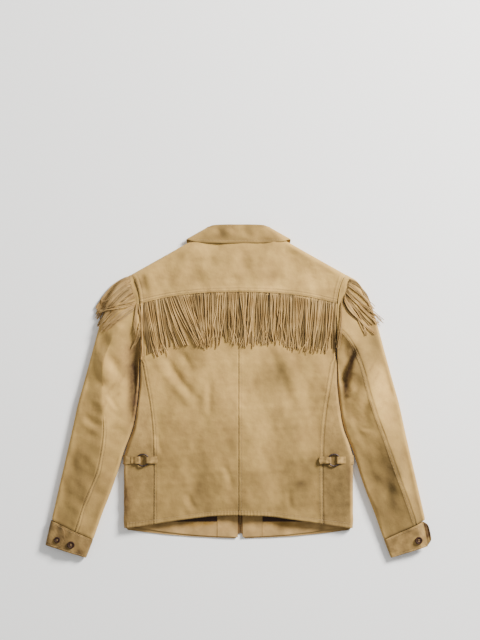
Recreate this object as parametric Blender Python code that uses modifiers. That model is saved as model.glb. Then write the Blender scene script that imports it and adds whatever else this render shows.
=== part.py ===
"""A fringed suede jacket laid flat on its fronts, with its back up.

Units in the tables are millimetres; meshes are made in metres. +X is to the right seen from above,
+Y runs from the hem to the collar, and +Z is up. The fronts rest on z = 0.
"""
import math

import bmesh
import bpy
import numpy as np
from mathutils import Matrix, Vector

MM = 0.001

# Cloth and seams
WALL = 1.5              # suede
THIN_WALL = 0.8         # facings, lining and zip tape
SEAM_GAP = 0.3          # between two pieces at a seam
LAY_GAP = 0.5           # between a panel and what lies on it

# Body
HEM_HALF_WIDTH = 258.0
RIM_HEIGHT = 16.0       # height of the side and shoulder folds
CROWN_HEIGHT = 13.0     # how far the middle of the back stands above the folds
COLLAR_LIFT = 3.6       # room under the fronts for the collar's points and the zip's pull
ARMHOLE_RISE = 11.0     # how far the back climbs towards the sleeve's ridge
UNDERARM_Y = 74.0
ARMHOLE_IN = 25.5       # the armhole's step in from the shoulder tip to the underarm
ARMHOLE_BOW = 13.0      # and its bow further in between them
SIDE_SEAM_TURN = 1.78   # where the side seam lies on the side fold, as body_surface counts it
SHOULDER_TIP_Y = 261.0
SHOULDER_HALF = 243.0
SHOULDER_SLOPE = 0.5625
SHOULDER_X, SHOULDER_Y = 112.0, 335.0  # a point on the shoulder line
SHOULDER_FOLD = 8.0     # radius of the fold along the shoulder
NECK_HALF = 80.4
NECK_BACK_Y = 338.0
NECK_SIDE_Y = 345.0
NECK_FRONT_Y = 262.0
NECK_FRONT_HALF = 78.0
NECK_FRONT_RISE = 48.0  # of the neckline, from the closure to the yoke's front seam
FRONT_YOKE_DROP = 42.0  # from the shoulder fold down to the yoke's front seam
ZIP_HALF = 5.0          # from the closure line to each front edge
CLOSURE_SHIFT = 4.0     # how far the closure lies to one side at the hem
FRONT_CORNER = 8.0      # radius of each front's lower corner at the zip
YOKE_HALF = 222.0       # x where the yoke's seam meets the armhole
YOKE_ARMHOLE_Y = 198.0  # and its y
SIDE_BACK_X = 191.0     # x of the side-back seam at the hem
SIDE_HEM_Y = -308.0

# Inside of each front
FACING_EDGE = 51.0      # x where the front facing ends
HEM_FACING_EDGE = 236.0
HEM_FACING_TOP = -295.0
LINING_EDGE = 204.0
LINING_TOP = 40.0

# Seams and edges: x from the centre back, y of the line
YOKE_SEAM = [(0, 222), (100, 218), (160, 210), (222, 196)]
HEM_BACK = [(0, -280), (60, -282), (120, -289), (180, -298), (258, -308)]
HEM_FRONT = [(0, -333), (95, -328), (155, -322), (220, -313), (258, -309)]
# y, x of the line where the sleeve meets the body and then hangs free of it
INNER_LINE = [(-376, 340), (-334, 324), (-277, 304), (-223, 283), (-182, 269), (-142, 257),
              (-110, 246.5), (-79, 236), (-45, 229.5), (9, 223.5), (74, 221.5)]
# y, x of the seam between back and side panel
SIDE_BACK_SEAM = [(-309, 191), (-136, 191), (-90, 193), (-21, 201), (31, 210), (74, 216.5)]
# y, radius of the side fold
SIDE_FOLD = [(-312, 9), (-100, 8.5), (0, 6), (74, 3)]
# y, share of the crown's height
CROWN_SHARE = [(-330, 0.25), (-250, 0.5), (-150, 0.95), (0, 1.05), (130, 1.0), (360, 0.9)]

# Sleeve stations: outer x, outer y, inner y, ridge share, ridge height, inner fold, outer fold, bow
SLEEVE_COLUMNS = ("outer_x", "outer_y", "inner_y", "ridge", "height", "inner_fold", "outer_fold", "bow")
SLEEVE = [
    (243.6, 261.5, 74.6, 0.66, 27, 3, 8, 13.0),
    (270, 244, 66, 0.61, 30, 4, 8, 8.0),
    (294, 205, 46, 0.56, 32, 6, 8, 3.0),
    (313, 148, 24, 0.50, 34, 7, 8, 0.0),
    (331, 82, 0, 0.45, 35, 8, 8, 0.0),
    (348, 20, -30, 0.44, 35, 8, 8, 0.0),
    (362, -30, -78, 0.41, 35, 8, 8, 0.0),
    (374, -85, -128, 0.37, 34, 8, 8, 0.0),
    (390, -155, -195, 0.32, 32, 8, 8, 0.0),
    (405, -220, -257, 0.27, 29, 8, 7, 0.0),
    (421, -290, -334, 0.22, 24, 7, 6, 0.0),
    (434, -347, -376, 0.26, 20, 7, 6, 0.0),
]
# The left sleeve's back seam lies further in: its ridge share at each station
LEFT_RIDGE = [0.66, 0.55, 0.40, 0.30, 0.27, 0.36, 0.46, 0.58, 0.63, 0.58, 0.56, 0.50]
RIDGE_ROUND = 0.12      # how blunt the ridge is, as a share of its slope
CUFF_STATION = 10.0     # the cuff's seam; the last station is its edge
# Columns round each cuff as sleeve_surface counts them, from the hidden end to the lapping end
CUFF_RINGS = {
    -1: [0.88, 0.45, 0, -0.33, -0.66, -1, -1.3, -1.7, -2, -2.5, -3,
         -3.25, -3.5, -3.75, -4, -4.2, -4.4, -4.52, -4.61, -4.67, -4.7],
    1: [0.9, 0.5, 0, -0.33, -0.66, -1, -1.3, -1.7, -2, -2.35, -2.7, -2.9, -3.1, -3.25, -3.36, -3.42],
}
CUFF_END = {-1: 0.45, 1: 0.6}  # how much of the ring its rounded end takes
LAP_GAP = 0.9                  # between the lapping end and the cuff under it

# Collar stations, from centre back round the neck to centre front: each line's x, y, z
COLLAR_COLUMNS = ("at", "neck_x", "neck_y", "neck_z", "fold_x", "fold_y", "fold_z",
                  "edge_x", "edge_y", "edge_z", "side")
COLLAR = [
    (0.00, 0, 339.2, 15.2, 0, 373.0, 15.2, 0, 333.0, 18.3, 0.0),
    (0.18, 30, 340.6, 15.2, 30, 373.0, 15.2, 48, 333.4, 18.3, 0.0),
    (0.33, 58, 344.2, 15.2, 56, 371.6, 15.0, 84, 334.6, 18.0, 0.1),
    (0.43, 71, 348.0, 13.5, 64, 369.0, 13.0, 106, 338.0, 16.6, 0.5),
    (0.50, 76, 350.5, 9.6, 69, 367.0, 9.6, 117, 341.5, 9.6, 1.0),
    (0.57, 76, 338.0, 4.8, 67, 362.0, 5.0, 115.5, 330.0, 1.7, 0.35),
    (0.67, 71, 296.0, 4.4, 58, 330.0, 4.4, 101, 272.0, 1.1, 0.0),
    (0.82, 53, 278.0, 4.4, 42, 311.0, 4.4, 76, 220.0, 1.1, 0.0),
    (1.00, 9, 264.0, 4.4, 9, 296.0, 4.4, 24, 246.0, 1.1, 0.0),
]
COLLAR_WALL = 1.4
COLLAR_FOLD = 1.3       # radius of the fold's middle line

# Waist adjusters
ADJUSTER_Y = -155.0
RING_X = 215.0
RING_RADIUS = 13.25
RING_WIRE = 1.75
STRAP_WALL = 1.3
LOOP_WIDTH = 14.0
STRAP_WIDTH = 21.0

# Cuff buttons: side, number, station, distance from the sleeve's outer edge, diameter
BUTTONS = [
    (-1, 1, 10.62, 24.0, 14.0),
    (-1, 2, 10.60, 56.0, 17.0),
    (1, 1, 10.62, 26.0, 17.0),
]
BUTTON_THICK = 2.6

# Fringe
FRINGE_LENGTH = 116.0
FRINGE_THICK = 4.5
SHOULDER_FRINGE_THICK = 6.0

# Zip
SLIDER_Y = 236.0
PULL_LENGTH = 27.0
HINGE_Z = 1.9

# Colours: name, linear red, green, blue, roughness, metallic
FINISHES = {
    "suede": (0.45, 0.31, 0.16, 0.9, 0.0),
    "suede_worn": (0.38, 0.26, 0.13, 0.9, 0.0),
    "fringe": (0.30, 0.18, 0.08, 0.85, 0.0),
    "facing": (0.42, 0.29, 0.15, 0.8, 0.0),
    "lining": (0.03, 0.03, 0.035, 0.7, 0.0),
    "tape": (0.16, 0.10, 0.045, 0.9, 0.0),
    "brass": (0.20, 0.14, 0.07, 0.45, 1.0),
    "iron": (0.08, 0.06, 0.05, 0.5, 1.0),
    "horn": (0.05, 0.025, 0.015, 0.4, 0.0),
}


def clear_scene():
    for item in list(bpy.data.objects):
        bpy.data.objects.remove(item)


def make_collection(name):
    group = bpy.data.collections.new(name)
    bpy.context.scene.collection.children.link(group)
    return group


def finish_material(name):
    """One Principled material for each finish."""
    if name in bpy.data.materials:
        return bpy.data.materials[name]
    red, green, blue, roughness, metallic = FINISHES[name]
    material = bpy.data.materials.new(name)
    material.use_nodes = True
    shader = material.node_tree.nodes["Principled BSDF"]
    shader.inputs["Base Color"].default_value = (red, green, blue, 1)
    shader.inputs["Roughness"].default_value = roughness
    shader.inputs["Metallic"].default_value = metallic
    material.diffuse_color = (red, green, blue, 1)
    return material


def through(rows, at, column=1):
    """Smooth curve through a table: column 0 is the place, the column asked for is the value."""
    rows = np.array(sorted(rows), float)
    at = np.asarray(at, float)
    place, value = rows[:, 0], rows[:, column]
    slope = np.gradient(value, place)
    row = np.clip(np.searchsorted(place, at) - 1, 0, len(place) - 2)
    step = place[row + 1] - place[row]
    t = np.clip((at - place[row]) / step, 0, 1)
    start = (2 * t**3 - 3 * t**2 + 1) * value[row] + (t**3 - 2 * t**2 + t) * step * slope[row]
    end = (3 * t**2 - 2 * t**3) * value[row + 1] + (t**3 - t**2) * step * slope[row + 1]
    return start + end


def ramp(low, high, value):
    """0 below low, 1 above high, smooth between."""
    t = np.clip((value - low) / (high - low), 0, 1)
    return t * t * (3 - 2 * t)


def tent(y):
    """0 at the underarm and the shoulder tip, 1 at the sleeve's back seam."""
    seam = SHOULDER_TIP_Y - 0.66 * (SHOULDER_TIP_Y - UNDERARM_Y)
    up = (y - UNDERARM_Y) / (seam - UNDERARM_Y)
    down = (SHOULDER_TIP_Y - y) / (SHOULDER_TIP_Y - seam)
    return np.clip(np.minimum(up, down), 0, 1)


def armhole_x(y):
    """The armhole seam, from the shoulder tip in to the underarm."""
    share = np.clip((SHOULDER_TIP_Y - y) / (SHOULDER_TIP_Y - UNDERARM_Y), 0, 1)
    return SHOULDER_HALF - ARMHOLE_IN * share - ARMHOLE_BOW * np.sin(math.pi * share**0.6)


def shoulder_y(x):
    """The outer line of the shoulder fold."""
    return SHOULDER_Y - SHOULDER_SLOPE * (np.abs(x) - SHOULDER_X)


def fold_top_y(x):
    """Where the back turns into the shoulder fold, or ends at the neck."""
    x = np.abs(x)
    neck = NECK_BACK_Y + (NECK_SIDE_Y - NECK_BACK_Y) * (x / NECK_HALF) ** 2
    return np.where(x < NECK_HALF, neck, shoulder_y(x) - SHOULDER_FOLD)


def front_top_y(x):
    """The fronts' upper edge: the neckline, then the yoke's front seam."""
    x = np.abs(x)
    reach = np.clip(x / NECK_FRONT_HALF, 0, 1)
    neck = NECK_FRONT_Y + NECK_FRONT_RISE * (1 - np.sqrt(1 - reach**2))
    return np.where(x < NECK_FRONT_HALF, neck, shoulder_y(x) - FRONT_YOKE_DROP)


def closure_x(y):
    """The closure lies a little to one side at the hem."""
    return CLOSURE_SHIFT * (1 - ramp(-330, 120, y))


def body_half(y):
    """x of the body's side fold, or of the armhole seam above the underarm."""
    side = np.minimum(HEM_HALF_WIDTH, through(INNER_LINE, y) - SEAM_GAP)
    return np.where(y > UNDERARM_Y, armhole_x(y), side)


def fold_radius(y):
    return np.where(y > UNDERARM_Y, 0.0, through(SIDE_FOLD, y))


def back_height(x, y):
    """Height of the back: a soft crown, down to the rim at the folds."""
    flat = body_half(y) - fold_radius(y)
    share = np.clip(np.abs(x) / flat, 0, 1)
    crown = CROWN_HEIGHT * through(CROWN_SHARE, y) * ramp(0, 120, fold_top_y(x) - y)
    return RIM_HEIGHT + ARMHOLE_RISE * tent(y) ** 2 * share**2 + crown * (1 - share**2) ** 2


def front_height(x, y):
    """Height of the fronts' outer face: flat, but lifted over the collar's points and the slider."""
    return COLLAR_LIFT * ramp(178, 206, y) * (1 - ramp(122, 142, np.abs(x)))


def body_surface(around, y):
    """around: 0 centre back, 1 top of the side fold, 2 its foot, 3 the closure."""
    fold = fold_radius(y)
    flat = body_half(y) - fold
    turn = math.pi * np.clip(around - 1, 0, 1)
    under = around > 2
    x = np.where(under, flat * (3 - around), flat * np.minimum(around, 1) + fold * np.sin(turn))
    x = x + closure_x(y) * np.clip(around - 2, 0, 1)
    top = back_height(flat * np.minimum(around, 1), y)
    low = front_height(x, y)
    z = np.where(under, low, top + (low - top) * (1 - np.cos(turn)) / 2)
    return np.stack([x, y + 0 * x, z], axis=-1)


def sleeve_row(station, side):
    """The table's named values at a station between rows."""
    rows = [(k,) + row for k, row in enumerate(SLEEVE)]
    values = {name: through(rows, station, k + 1) for k, name in enumerate(SLEEVE_COLUMNS)}
    if side < 0:
        values["ridge"] = through(list(enumerate(LEFT_RIDGE)), station)
    clear = 0.9 + 2.2 * ramp(-100, -138, values["inner_y"])
    values["inner_x"] = through(INNER_LINE, values["inner_y"]) + clear
    return values


def sleeve_surface(station, ring, side):
    """ring: 0 the back seam's ridge, 1 and 2 the outer fold, 3 and 4 the inner fold, 5 the ridge."""
    row = sleeve_row(station, side)
    ring = np.mod(ring, 5.0)
    outer = np.stack([row["outer_x"], row["outer_y"]], axis=-1)
    inner = np.stack([row["inner_x"], row["inner_y"]], axis=-1)
    chord = inner - outer
    length = np.linalg.norm(chord, axis=-1)
    ridge = row["ridge"] * length
    outer_fold, inner_fold = row["outer_fold"], row["inner_fold"]
    rim = RIM_HEIGHT - 2.0 * ramp(8, 11, station)
    first, second, third, fourth, fifth = [np.clip(ring - k, 0, 1) for k in range(5)]
    along = ridge + (outer_fold - ridge) * first
    along = along - outer_fold * np.sin(math.pi * second)
    along = along + (length - inner_fold - outer_fold) * third
    along = along + inner_fold * np.sin(math.pi * fourth)
    along = along + (ridge - length + inner_fold) * fifth
    power = 1.35 + 0.65 * (1 - ramp(0, 3, station))
    down = np.where(ring > 4, 1 - fifth, first)
    blunt = math.hypot(1, RIDGE_ROUND) - RIDGE_ROUND
    peak = np.clip(1 - (np.hypot(down, RIDGE_ROUND) - RIDGE_ROUND) / blunt, 0, 1)
    height = rim + (row["height"] - rim) * peak**power
    turn = np.where(ring < 3, second, 1 - fourth)
    z = np.where((ring > 1) & (ring < 4), rim * (1 + np.cos(math.pi * turn)) / 2, height)
    share = np.clip(along / length, 0, 1)
    bow = row["bow"] * np.sin(math.pi * share**0.6)
    flat = outer + chord * (along / length)[..., None]
    return mirrored(np.stack([flat[..., 0] - bow, flat[..., 1], z], axis=-1), side)


def normals_of(points):
    """Unit normals of a grid of points, one for each point."""
    down = np.gradient(points, axis=0)
    across = np.gradient(points, axis=1)
    normal = np.cross(down, across)
    return normal / np.linalg.norm(normal, axis=-1, keepdims=True)


def grid_object(name, points, finish, keep=None):
    """An open surface through a grid of points, in millimetres; keep marks the cells to use."""
    rows, columns = points.shape[:2]
    index = np.arange(rows * columns).reshape(rows, columns)
    cells = np.stack([index[:-1, :-1], index[1:, :-1], index[1:, 1:], index[:-1, 1:]], axis=-1)
    if keep is None:
        keep = np.ones((rows - 1, columns - 1), bool)
    faces = cells[keep]
    used, renumbered = np.unique(faces, return_inverse=True)
    mesh = bpy.data.meshes.new(name)
    corners = points.reshape(-1, 3)[used] * MM
    mesh.from_pydata(corners.tolist(), [], renumbered.reshape(faces.shape).tolist())
    mesh.update()
    return add_object(name, mesh, finish)


def add_object(name, mesh, finish):
    item = bpy.data.objects.new(name, mesh)
    jacket.objects.link(item)
    mesh.materials.append(finish_material(finish))
    return item


def shell(name, points, finish, outward, wall=WALL, lift=0.0, keep=None):
    """Cloth through the grid: the outer face lies lift above the points, the wall goes inwards.

    outward is 1 where the grid's normals already point out, and -1 where the rows are turned round.
    """
    if outward < 0:
        points = points[:, ::-1]
        keep = None if keep is None else keep[:, ::-1]
    points = points + normals_of(points) * lift
    item = grid_object(name, points, finish, keep)
    cloth = item.modifiers.new("Wall", "SOLIDIFY")
    cloth.thickness = wall * MM
    cloth.offset = -1
    item.data.shade_smooth()
    item.data.set_sharp_from_angle(angle=math.radians(50))
    return item


def mirrored(points, side):
    """The same points on the left, side -1, or the right, side 1."""
    return points * np.array([side, 1, 1])


def panel(name, around, y, finish, side, wall=WALL, lift=0.0):
    """A body panel from around (columns) and y (rows and columns), mirrored for the left."""
    points = body_surface(around + 0 * y, y + 0 * around)
    shift = closure_x(points[..., 1]) * np.clip(around - 2, 0, 1)
    if side < 0:
        points = points * np.array([-1, 1, 1]) + np.stack([2 * shift, 0 * shift, 0 * shift], axis=-1)
    outward = -side if around.flat[-1] > around.flat[0] else side
    return shell(name, points, finish, outward, wall, lift)


def side_name(side):
    return "left" if side < 0 else "right"


def half_columns():
    """Shares of the half width, with one at the side of the neck, for the yoke and what joins it."""
    neck = NECK_HALF / SHOULDER_HALF
    return np.concatenate([np.linspace(0, neck, 4)[:-1], np.linspace(neck, 1, 9)])


def make_back(side):
    """Half of the back, from the centre seam to the side-back seam and the armhole."""
    share = half_columns()[None, :]
    rise = np.array([0, 0.05, 0.12, 0.2, 0.3, 0.4, 0.5, 0.6, 0.7, 0.765, 0.85, 0.93, 1])[:, None]
    guess = HEM_HALF_WIDTH * share
    low = through(HEM_BACK, guess * SIDE_BACK_X / HEM_HALF_WIDTH)
    high = through(YOKE_SEAM, share * YOKE_HALF) - SEAM_GAP
    y = low + (high - low) * rise
    seam = np.where(y > UNDERARM_Y, armhole_x(np.minimum(y, YOKE_ARMHOLE_Y)), through(SIDE_BACK_SEAM, y))
    start = SEAM_GAP / 2
    x = start + (seam - SEAM_GAP - start) * share
    around = x / (body_half(y) - fold_radius(y))
    return panel(f"back_{side_name(side)}", around, y, "suede", side)


def make_side(side):
    """The side panel, from the side-back seam round the side fold to the side seam."""
    column = np.array([0, 0.33, 0.66, 1, 1.2, 1.4, 1.56, 1.65, SIDE_SEAM_TURN - 0.075])[None, :]
    share = np.array([0, 0.1, 0.2, 0.32, 0.4, 0.52, 0.65, 0.78, 0.9, 1])[:, None]
    hem_x = SIDE_BACK_X + (HEM_HALF_WIDTH - SIDE_BACK_X) * column
    low = np.where(column < 1, through(HEM_BACK, hem_x), SIDE_HEM_Y) - 0.4 * column
    y = low + (UNDERARM_Y - 1.0 - low) * share
    flat = body_half(y) - fold_radius(y)
    seam = (through(SIDE_BACK_SEAM, y) + SEAM_GAP / 2) / flat
    around = np.where(column < 1, seam + (1 - seam) * column, column)
    return panel(f"side_{side_name(side)}", around, y, "suede_worn", side)


def make_front(side):
    """A front, lying on the surface, from the zip to the side seam and the armhole."""
    share = np.array([0, 0.008, 0.03, 0.12, 0.25, 0.37, 0.5, 0.65, 0.82, 0.93, 0.97, 1])[None, :]
    rise = np.array([0, 0.02, 0.2, 0.4, 0.58, 0.67, 0.75, 0.83, 0.87, 0.91, 0.95, 1])[:, None]
    x_top = ZIP_HALF + share * (YOKE_HALF - ZIP_HALF)
    for _ in range(3):
        x_top = ZIP_HALF + share * (armhole_x(front_top_y(x_top)) - ZIP_HALF)
    low = through(HEM_FRONT, share * HEM_HALF_WIDTH)
    past_corner = np.clip(FRONT_CORNER - share * HEM_HALF_WIDTH, 0, FRONT_CORNER)
    low = low + FRONT_CORNER - np.sqrt(FRONT_CORNER**2 - past_corner**2)
    high = front_top_y(x_top) - SEAM_GAP
    y = low + (high - low) * rise
    outer = SIDE_SEAM_TURN + (2 - SIDE_SEAM_TURN) * ramp(20, UNDERARM_Y - 4, y)
    flat = body_half(y) - fold_radius(y)
    inner = 3 - ZIP_HALF / flat
    around = inner + (outer - inner) * share
    return panel(f"front_{side_name(side)}", around, y, "suede", side)


def make_yoke():
    """The yoke: over the back, round the shoulder folds, and down to its front seam."""
    neck = NECK_HALF / SHOULDER_HALF
    half = half_columns()
    column = np.concatenate([-half[:0:-1], half])[None, :]
    rise = np.array([0, 0.25, 0.5, 0.75, 1])[:, None]
    x_top = column * SHOULDER_HALF
    low = through(YOKE_SEAM, np.abs(column) * YOKE_HALF)
    y = low + (fold_top_y(x_top) - low) * rise
    armhole_y = YOKE_ARMHOLE_Y + (SHOULDER_TIP_Y - SHOULDER_FOLD - YOKE_ARMHOLE_Y) * rise
    x = column * armhole_x(np.minimum(y, armhole_y))
    upper = np.stack([x, y, back_height(x, y)], axis=-1)
    crest = fold_top_y(np.where(np.abs(x_top) < NECK_HALF, NECK_HALF, x_top))
    turn = (np.linspace(0, math.pi, 6)[1:])[:, None]
    past = SHOULDER_FOLD * np.sin(turn)
    fold_x = column * armhole_x(SHOULDER_TIP_Y - SHOULDER_FOLD + past)
    high, low_z = back_height(x[-1:], crest), front_height(x_top, crest)
    fold = np.stack([fold_x, crest + past, low_z + (high - low_z) * (1 + np.cos(turn)) / 2], axis=-1)
    drop = SHOULDER_FOLD + np.array([0.5, 1])[:, None] * (FRONT_YOKE_DROP - SHOULDER_FOLD)
    under_x = column * armhole_x(SHOULDER_TIP_Y - drop)
    under_y = shoulder_y(under_x) - drop
    under = np.stack([under_x, under_y, front_height(under_x, under_y)], axis=-1)
    points = np.concatenate([upper, fold, under])
    cell_middle = np.abs(column[0, 1:] + column[0, :-1]) / 2 < neck
    keep = np.ones((points.shape[0] - 1, points.shape[1] - 1), bool)
    keep[len(upper) - 1:, cell_middle] = False
    points[..., 0] = points[..., 0] * (1 - SEAM_GAP / SHOULDER_HALF)
    return shell("yoke", points, "suede", -1, keep=keep)


def make_sleeve(side):
    """Top sleeve and under sleeve: each turns round one fold and meets the other at two seams."""
    stations = np.array([0, 0.5, 1, 1.6, 2.3, 3, 4, 5, 6, 7, 8, 9, 9.6, 10])[:, None]
    top_gap, under_gap = 0.009, 0.0055
    top_ring = np.array([top_gap, 0.05, 0.3, 0.65, 1, 1.25, 1.5, 1.75, 2, 2.6 - top_gap])[None, :]
    under_ring = np.array([2.6, 3, 3.25, 3.5, 3.75, 4, 4.33, 4.66, 4.97, 5 - under_gap])[None, :]
    for part, ring in (("top", top_ring), ("under", under_ring)):
        points = sleeve_surface(stations + 0 * ring, ring + 0 * stations, side)
        shell(f"sleeve_{part}_{side_name(side)}", points, "suede", side)


def make_cuff(side):
    """A band round the wrist whose rounded end laps over its start."""
    ring = np.array(CUFF_RINGS[side], float)
    height = np.linspace(0.02, 1, 5)
    from_end = np.clip((ring - ring[-1]) / CUFF_END[side], 0, 1)
    narrow = 0.30 + 0.70 * np.sqrt(1 - (1 - from_end) ** 2)
    middle = 0.52
    band = middle + (height[:, None] - middle) * narrow[None, :]
    stations = CUFF_STATION + band
    points = sleeve_surface(stations, ring[None, :] + 0 * stations, side)
    lap = ramp(3.05, 3.95, -ring) if side < 0 else 2.2 * ramp(3.12, 3.42, -ring)
    lift = (WALL + LAP_GAP) * lap[None, :, None]
    outward = -side * normals_of(points) * lift
    return shell(f"cuff_{side_name(side)}", points + outward, "suede_worn", -side)


def make_collar():
    """Stand and fall as one folded band, from the closure round the neck and back."""
    at = np.array([0.0, 0.09, 0.18, 0.26, 0.33, 0.38, 0.43, 0.465, 0.5, 0.535, 0.57, 0.62,
                   0.67, 0.74, 0.82, 0.91, 1.0])
    value = {name: through(COLLAR, at, k) for k, name in enumerate(COLLAR_COLUMNS)}
    neck = np.stack([value["neck_x"], value["neck_y"], value["neck_z"]], axis=-1)
    fold = np.stack([value["fold_x"], value["fold_y"], value["fold_z"]], axis=-1)
    edge = np.stack([value["edge_x"], value["edge_y"], value["edge_z"]], axis=-1)
    facing_up = np.where(at < 0.5, 1.0, -1.0) * (1 - value["side"])
    out = np.stack([value["side"], 0 * at, facing_up], axis=-1)
    out = out / np.linalg.norm(out, axis=-1, keepdims=True)
    up = fold - neck
    up = up / np.linalg.norm(up, axis=-1, keepdims=True)
    turns = np.linspace(0, math.pi, 5)
    centre = fold + COLLAR_FOLD * out
    rows = [neck, neck + (fold - neck) * 0.5]
    for turn in turns:
        rows.append(centre + COLLAR_FOLD * (-math.cos(turn) * out + math.sin(turn) * up))
    start = rows[-1]
    for share in (0.25, 0.5, 0.75, 1.0):
        rows.append(start + (edge - start) * share)
    half = np.array(rows)
    left = mirrored(half[:, :0:-1], -1)
    points = np.concatenate([left, half], axis=1)
    return shell("collar", points, "suede", 1, wall=COLLAR_WALL, lift=COLLAR_WALL / 2)


def strip(name, x_low, x_high, y_low, y_high, finish, side, depth, columns=4, rows=7):
    """A flat piece on the inside of a front, from the front's own points moved in by depth."""
    share = np.linspace(0, 1, columns)[None, :]
    rise = np.linspace(0, 1, rows)[:, None]
    x = x_low + (x_high - x_low) * share
    y = y_low(x) + (y_high(x) - y_low(x)) * rise
    around = 3 - x / (body_half(y) - fold_radius(y))
    return panel(name, around, y, finish, side, THIN_WALL, -depth)


def make_insides(side):
    """Front facing, hem facing, lining and zip tape, all on the inside of one front."""
    name = side_name(side)
    depth = WALL + THIN_WALL + 0.6

    def hem(x):
        return through(HEM_FRONT, x) + 2.5

    def facing_top(x):
        return front_top_y(x) - 2.0

    def level(value):
        return lambda x: value + 0 * x

    tape_end = NECK_FRONT_Y - 4.0
    strip(f"zip_tape_{name}", 1.4, 11.0, level(-322.0), level(tape_end), "tape", side,
          WALL + 0.25, columns=3, rows=25)
    strip(f"facing_{name}", ZIP_HALF + 0.4, FACING_EDGE, hem, facing_top, "facing", side,
          depth, columns=4, rows=25)
    strip(f"hem_facing_{name}", FACING_EDGE + SEAM_GAP, HEM_FACING_EDGE, hem,
          level(HEM_FACING_TOP), "facing", side, depth, columns=8, rows=3)
    strip(f"lining_{name}", FACING_EDGE + SEAM_GAP, LINING_EDGE, level(HEM_FACING_TOP + SEAM_GAP),
          level(LINING_TOP), "lining", side, depth, columns=6, rows=7)


def hairpin(name, side, path, width_ends, width_bend):
    """A folded strap: path rows are x and height over the panel; it is swept along y."""
    path = np.array(path, float)
    share = np.linspace(-0.5, 0.5, 3)[:, None]
    far = np.linspace(0, 1, len(path))[None, :]
    width = width_bend + (width_ends - width_bend) * np.abs(2 * far - 1) ** 2
    x = path[None, :, 0] + 0 * share
    y = ADJUSTER_Y + width * share
    z = back_height(x, y) + path[None, :, 1]
    points = mirrored(np.stack([x, y, z], axis=-1), side)
    return shell(name, points, "suede_worn", side, wall=STRAP_WALL, lift=STRAP_WALL / 2)


def arc_path(centre_x, centre_z, radius, start, end, count):
    """Points on an arc in the x-z plane, angles in degrees."""
    turns = np.radians(np.linspace(start, end, count))
    return [(centre_x + radius * math.cos(t), centre_z + radius * math.sin(t)) for t in turns]


def make_adjuster(side):
    """The loop at the side-back seam, the ring, and the strap round the side fold."""
    name = side_name(side)
    low = LAY_GAP + STRAP_WALL / 2
    middle = LAY_GAP + STRAP_WALL + 0.4 + RING_WIRE
    radius = middle - low
    reach = np.array([RING_X - RING_RADIUS, RING_X, RING_X + RING_RADIUS])
    under = back_height(reach, ADJUSTER_Y + 0 * reach)
    tilt = math.atan2(under[0] - under[2], 2 * RING_RADIUS)
    bend = RING_X - RING_RADIUS + 3.4
    path = [(184.0, low), (192.0, low), (199.0, low)]
    path += arc_path(bend, middle, radius, -90, 90, 7)
    path += [(198.0, middle + radius), (191.0, low + STRAP_WALL + 1.2), (184.0, low + STRAP_WALL + 0.4)]
    hairpin(f"waist_loop_{name}", side, path, LOOP_WIDTH + 3, LOOP_WIDTH)

    bpy.ops.mesh.primitive_torus_add(major_radius=RING_RADIUS * MM, minor_radius=RING_WIRE * MM,
                                     major_segments=32, minor_segments=8,
                                     location=(side * RING_X * MM, ADJUSTER_Y * MM,
                                               (under[1] + middle) * MM),
                                     rotation=(0, side * tilt, 0))
    ring = bpy.context.object
    ring.name = f"waist_ring_{name}"
    for group in list(ring.users_collection):
        group.objects.unlink(ring)
    jacket.objects.link(ring)
    ring.data.materials.append(finish_material("iron"))
    ring.data.shade_smooth()

    make_strap(side, middle, low, radius)


def make_strap(side, middle, low, radius):
    """From a short folded end on top of the ring, under it, and round the side fold."""
    bend = RING_X + RING_RADIUS - 4.6
    path = [(241.0, low + STRAP_WALL + 0.4), (236.5, low + STRAP_WALL + 1.0), (231.0, middle + radius)]
    path += arc_path(bend, middle, radius, 90, 270, 7)
    path = np.array(path + [(234.0, low)], float)
    around = np.array([1.0, 1.2, 1.4, 1.6, 1.7])
    share = np.linspace(-0.5, 0.5, 3)[:, None]
    width = np.concatenate([np.full(10, STRAP_WIDTH - 5), [STRAP_WIDTH - 2], np.full(5, STRAP_WIDTH)])
    y = ADJUSTER_Y + width[None, :] * share
    wrap_y = y[:, -5:]
    wrap = body_surface(around[None, :] + 0 * wrap_y, wrap_y)
    wrap = wrap - normals_of(wrap) * (LAY_GAP + STRAP_WALL / 2)
    flat_x, flat_y = path[None, :, 0] + 0 * share, y[:, :-5]
    flat = np.stack([flat_x, flat_y, back_height(flat_x, flat_y) + path[None, :, 1]], axis=-1)
    points = mirrored(np.concatenate([flat, wrap], axis=1), side)
    return shell(f"waist_strap_{side_name(side)}", points, "suede_worn", side,
                 wall=STRAP_WALL, lift=STRAP_WALL / 2)


def cuff_place(side, station, distance):
    """A point on the cuff and its outward direction, a distance in from the outer edge."""
    stations = np.array([station - 0.1, station, station + 0.1])
    row = sleeve_row(stations, side)
    length = np.hypot(row["inner_x"] - row["outer_x"], row["inner_y"] - row["outer_y"])
    ridge = row["ridge"] * length
    across = distance + np.array([-4.0, 0.0, 4.0])
    ring = np.where(across[None, :] > ridge[:, None],
                    5 - (across[None, :] - ridge[:, None]) / (length - row["inner_fold"] - ridge)[:, None],
                    (ridge[:, None] - across[None, :]) / (ridge - row["outer_fold"])[:, None])
    points = sleeve_surface(stations[:, None] + 0 * ring, ring, side)
    normal = normals_of(points)[1, 1]
    if normal[2] < 0:
        normal = -normal
    return points[1, 1], normal


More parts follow.
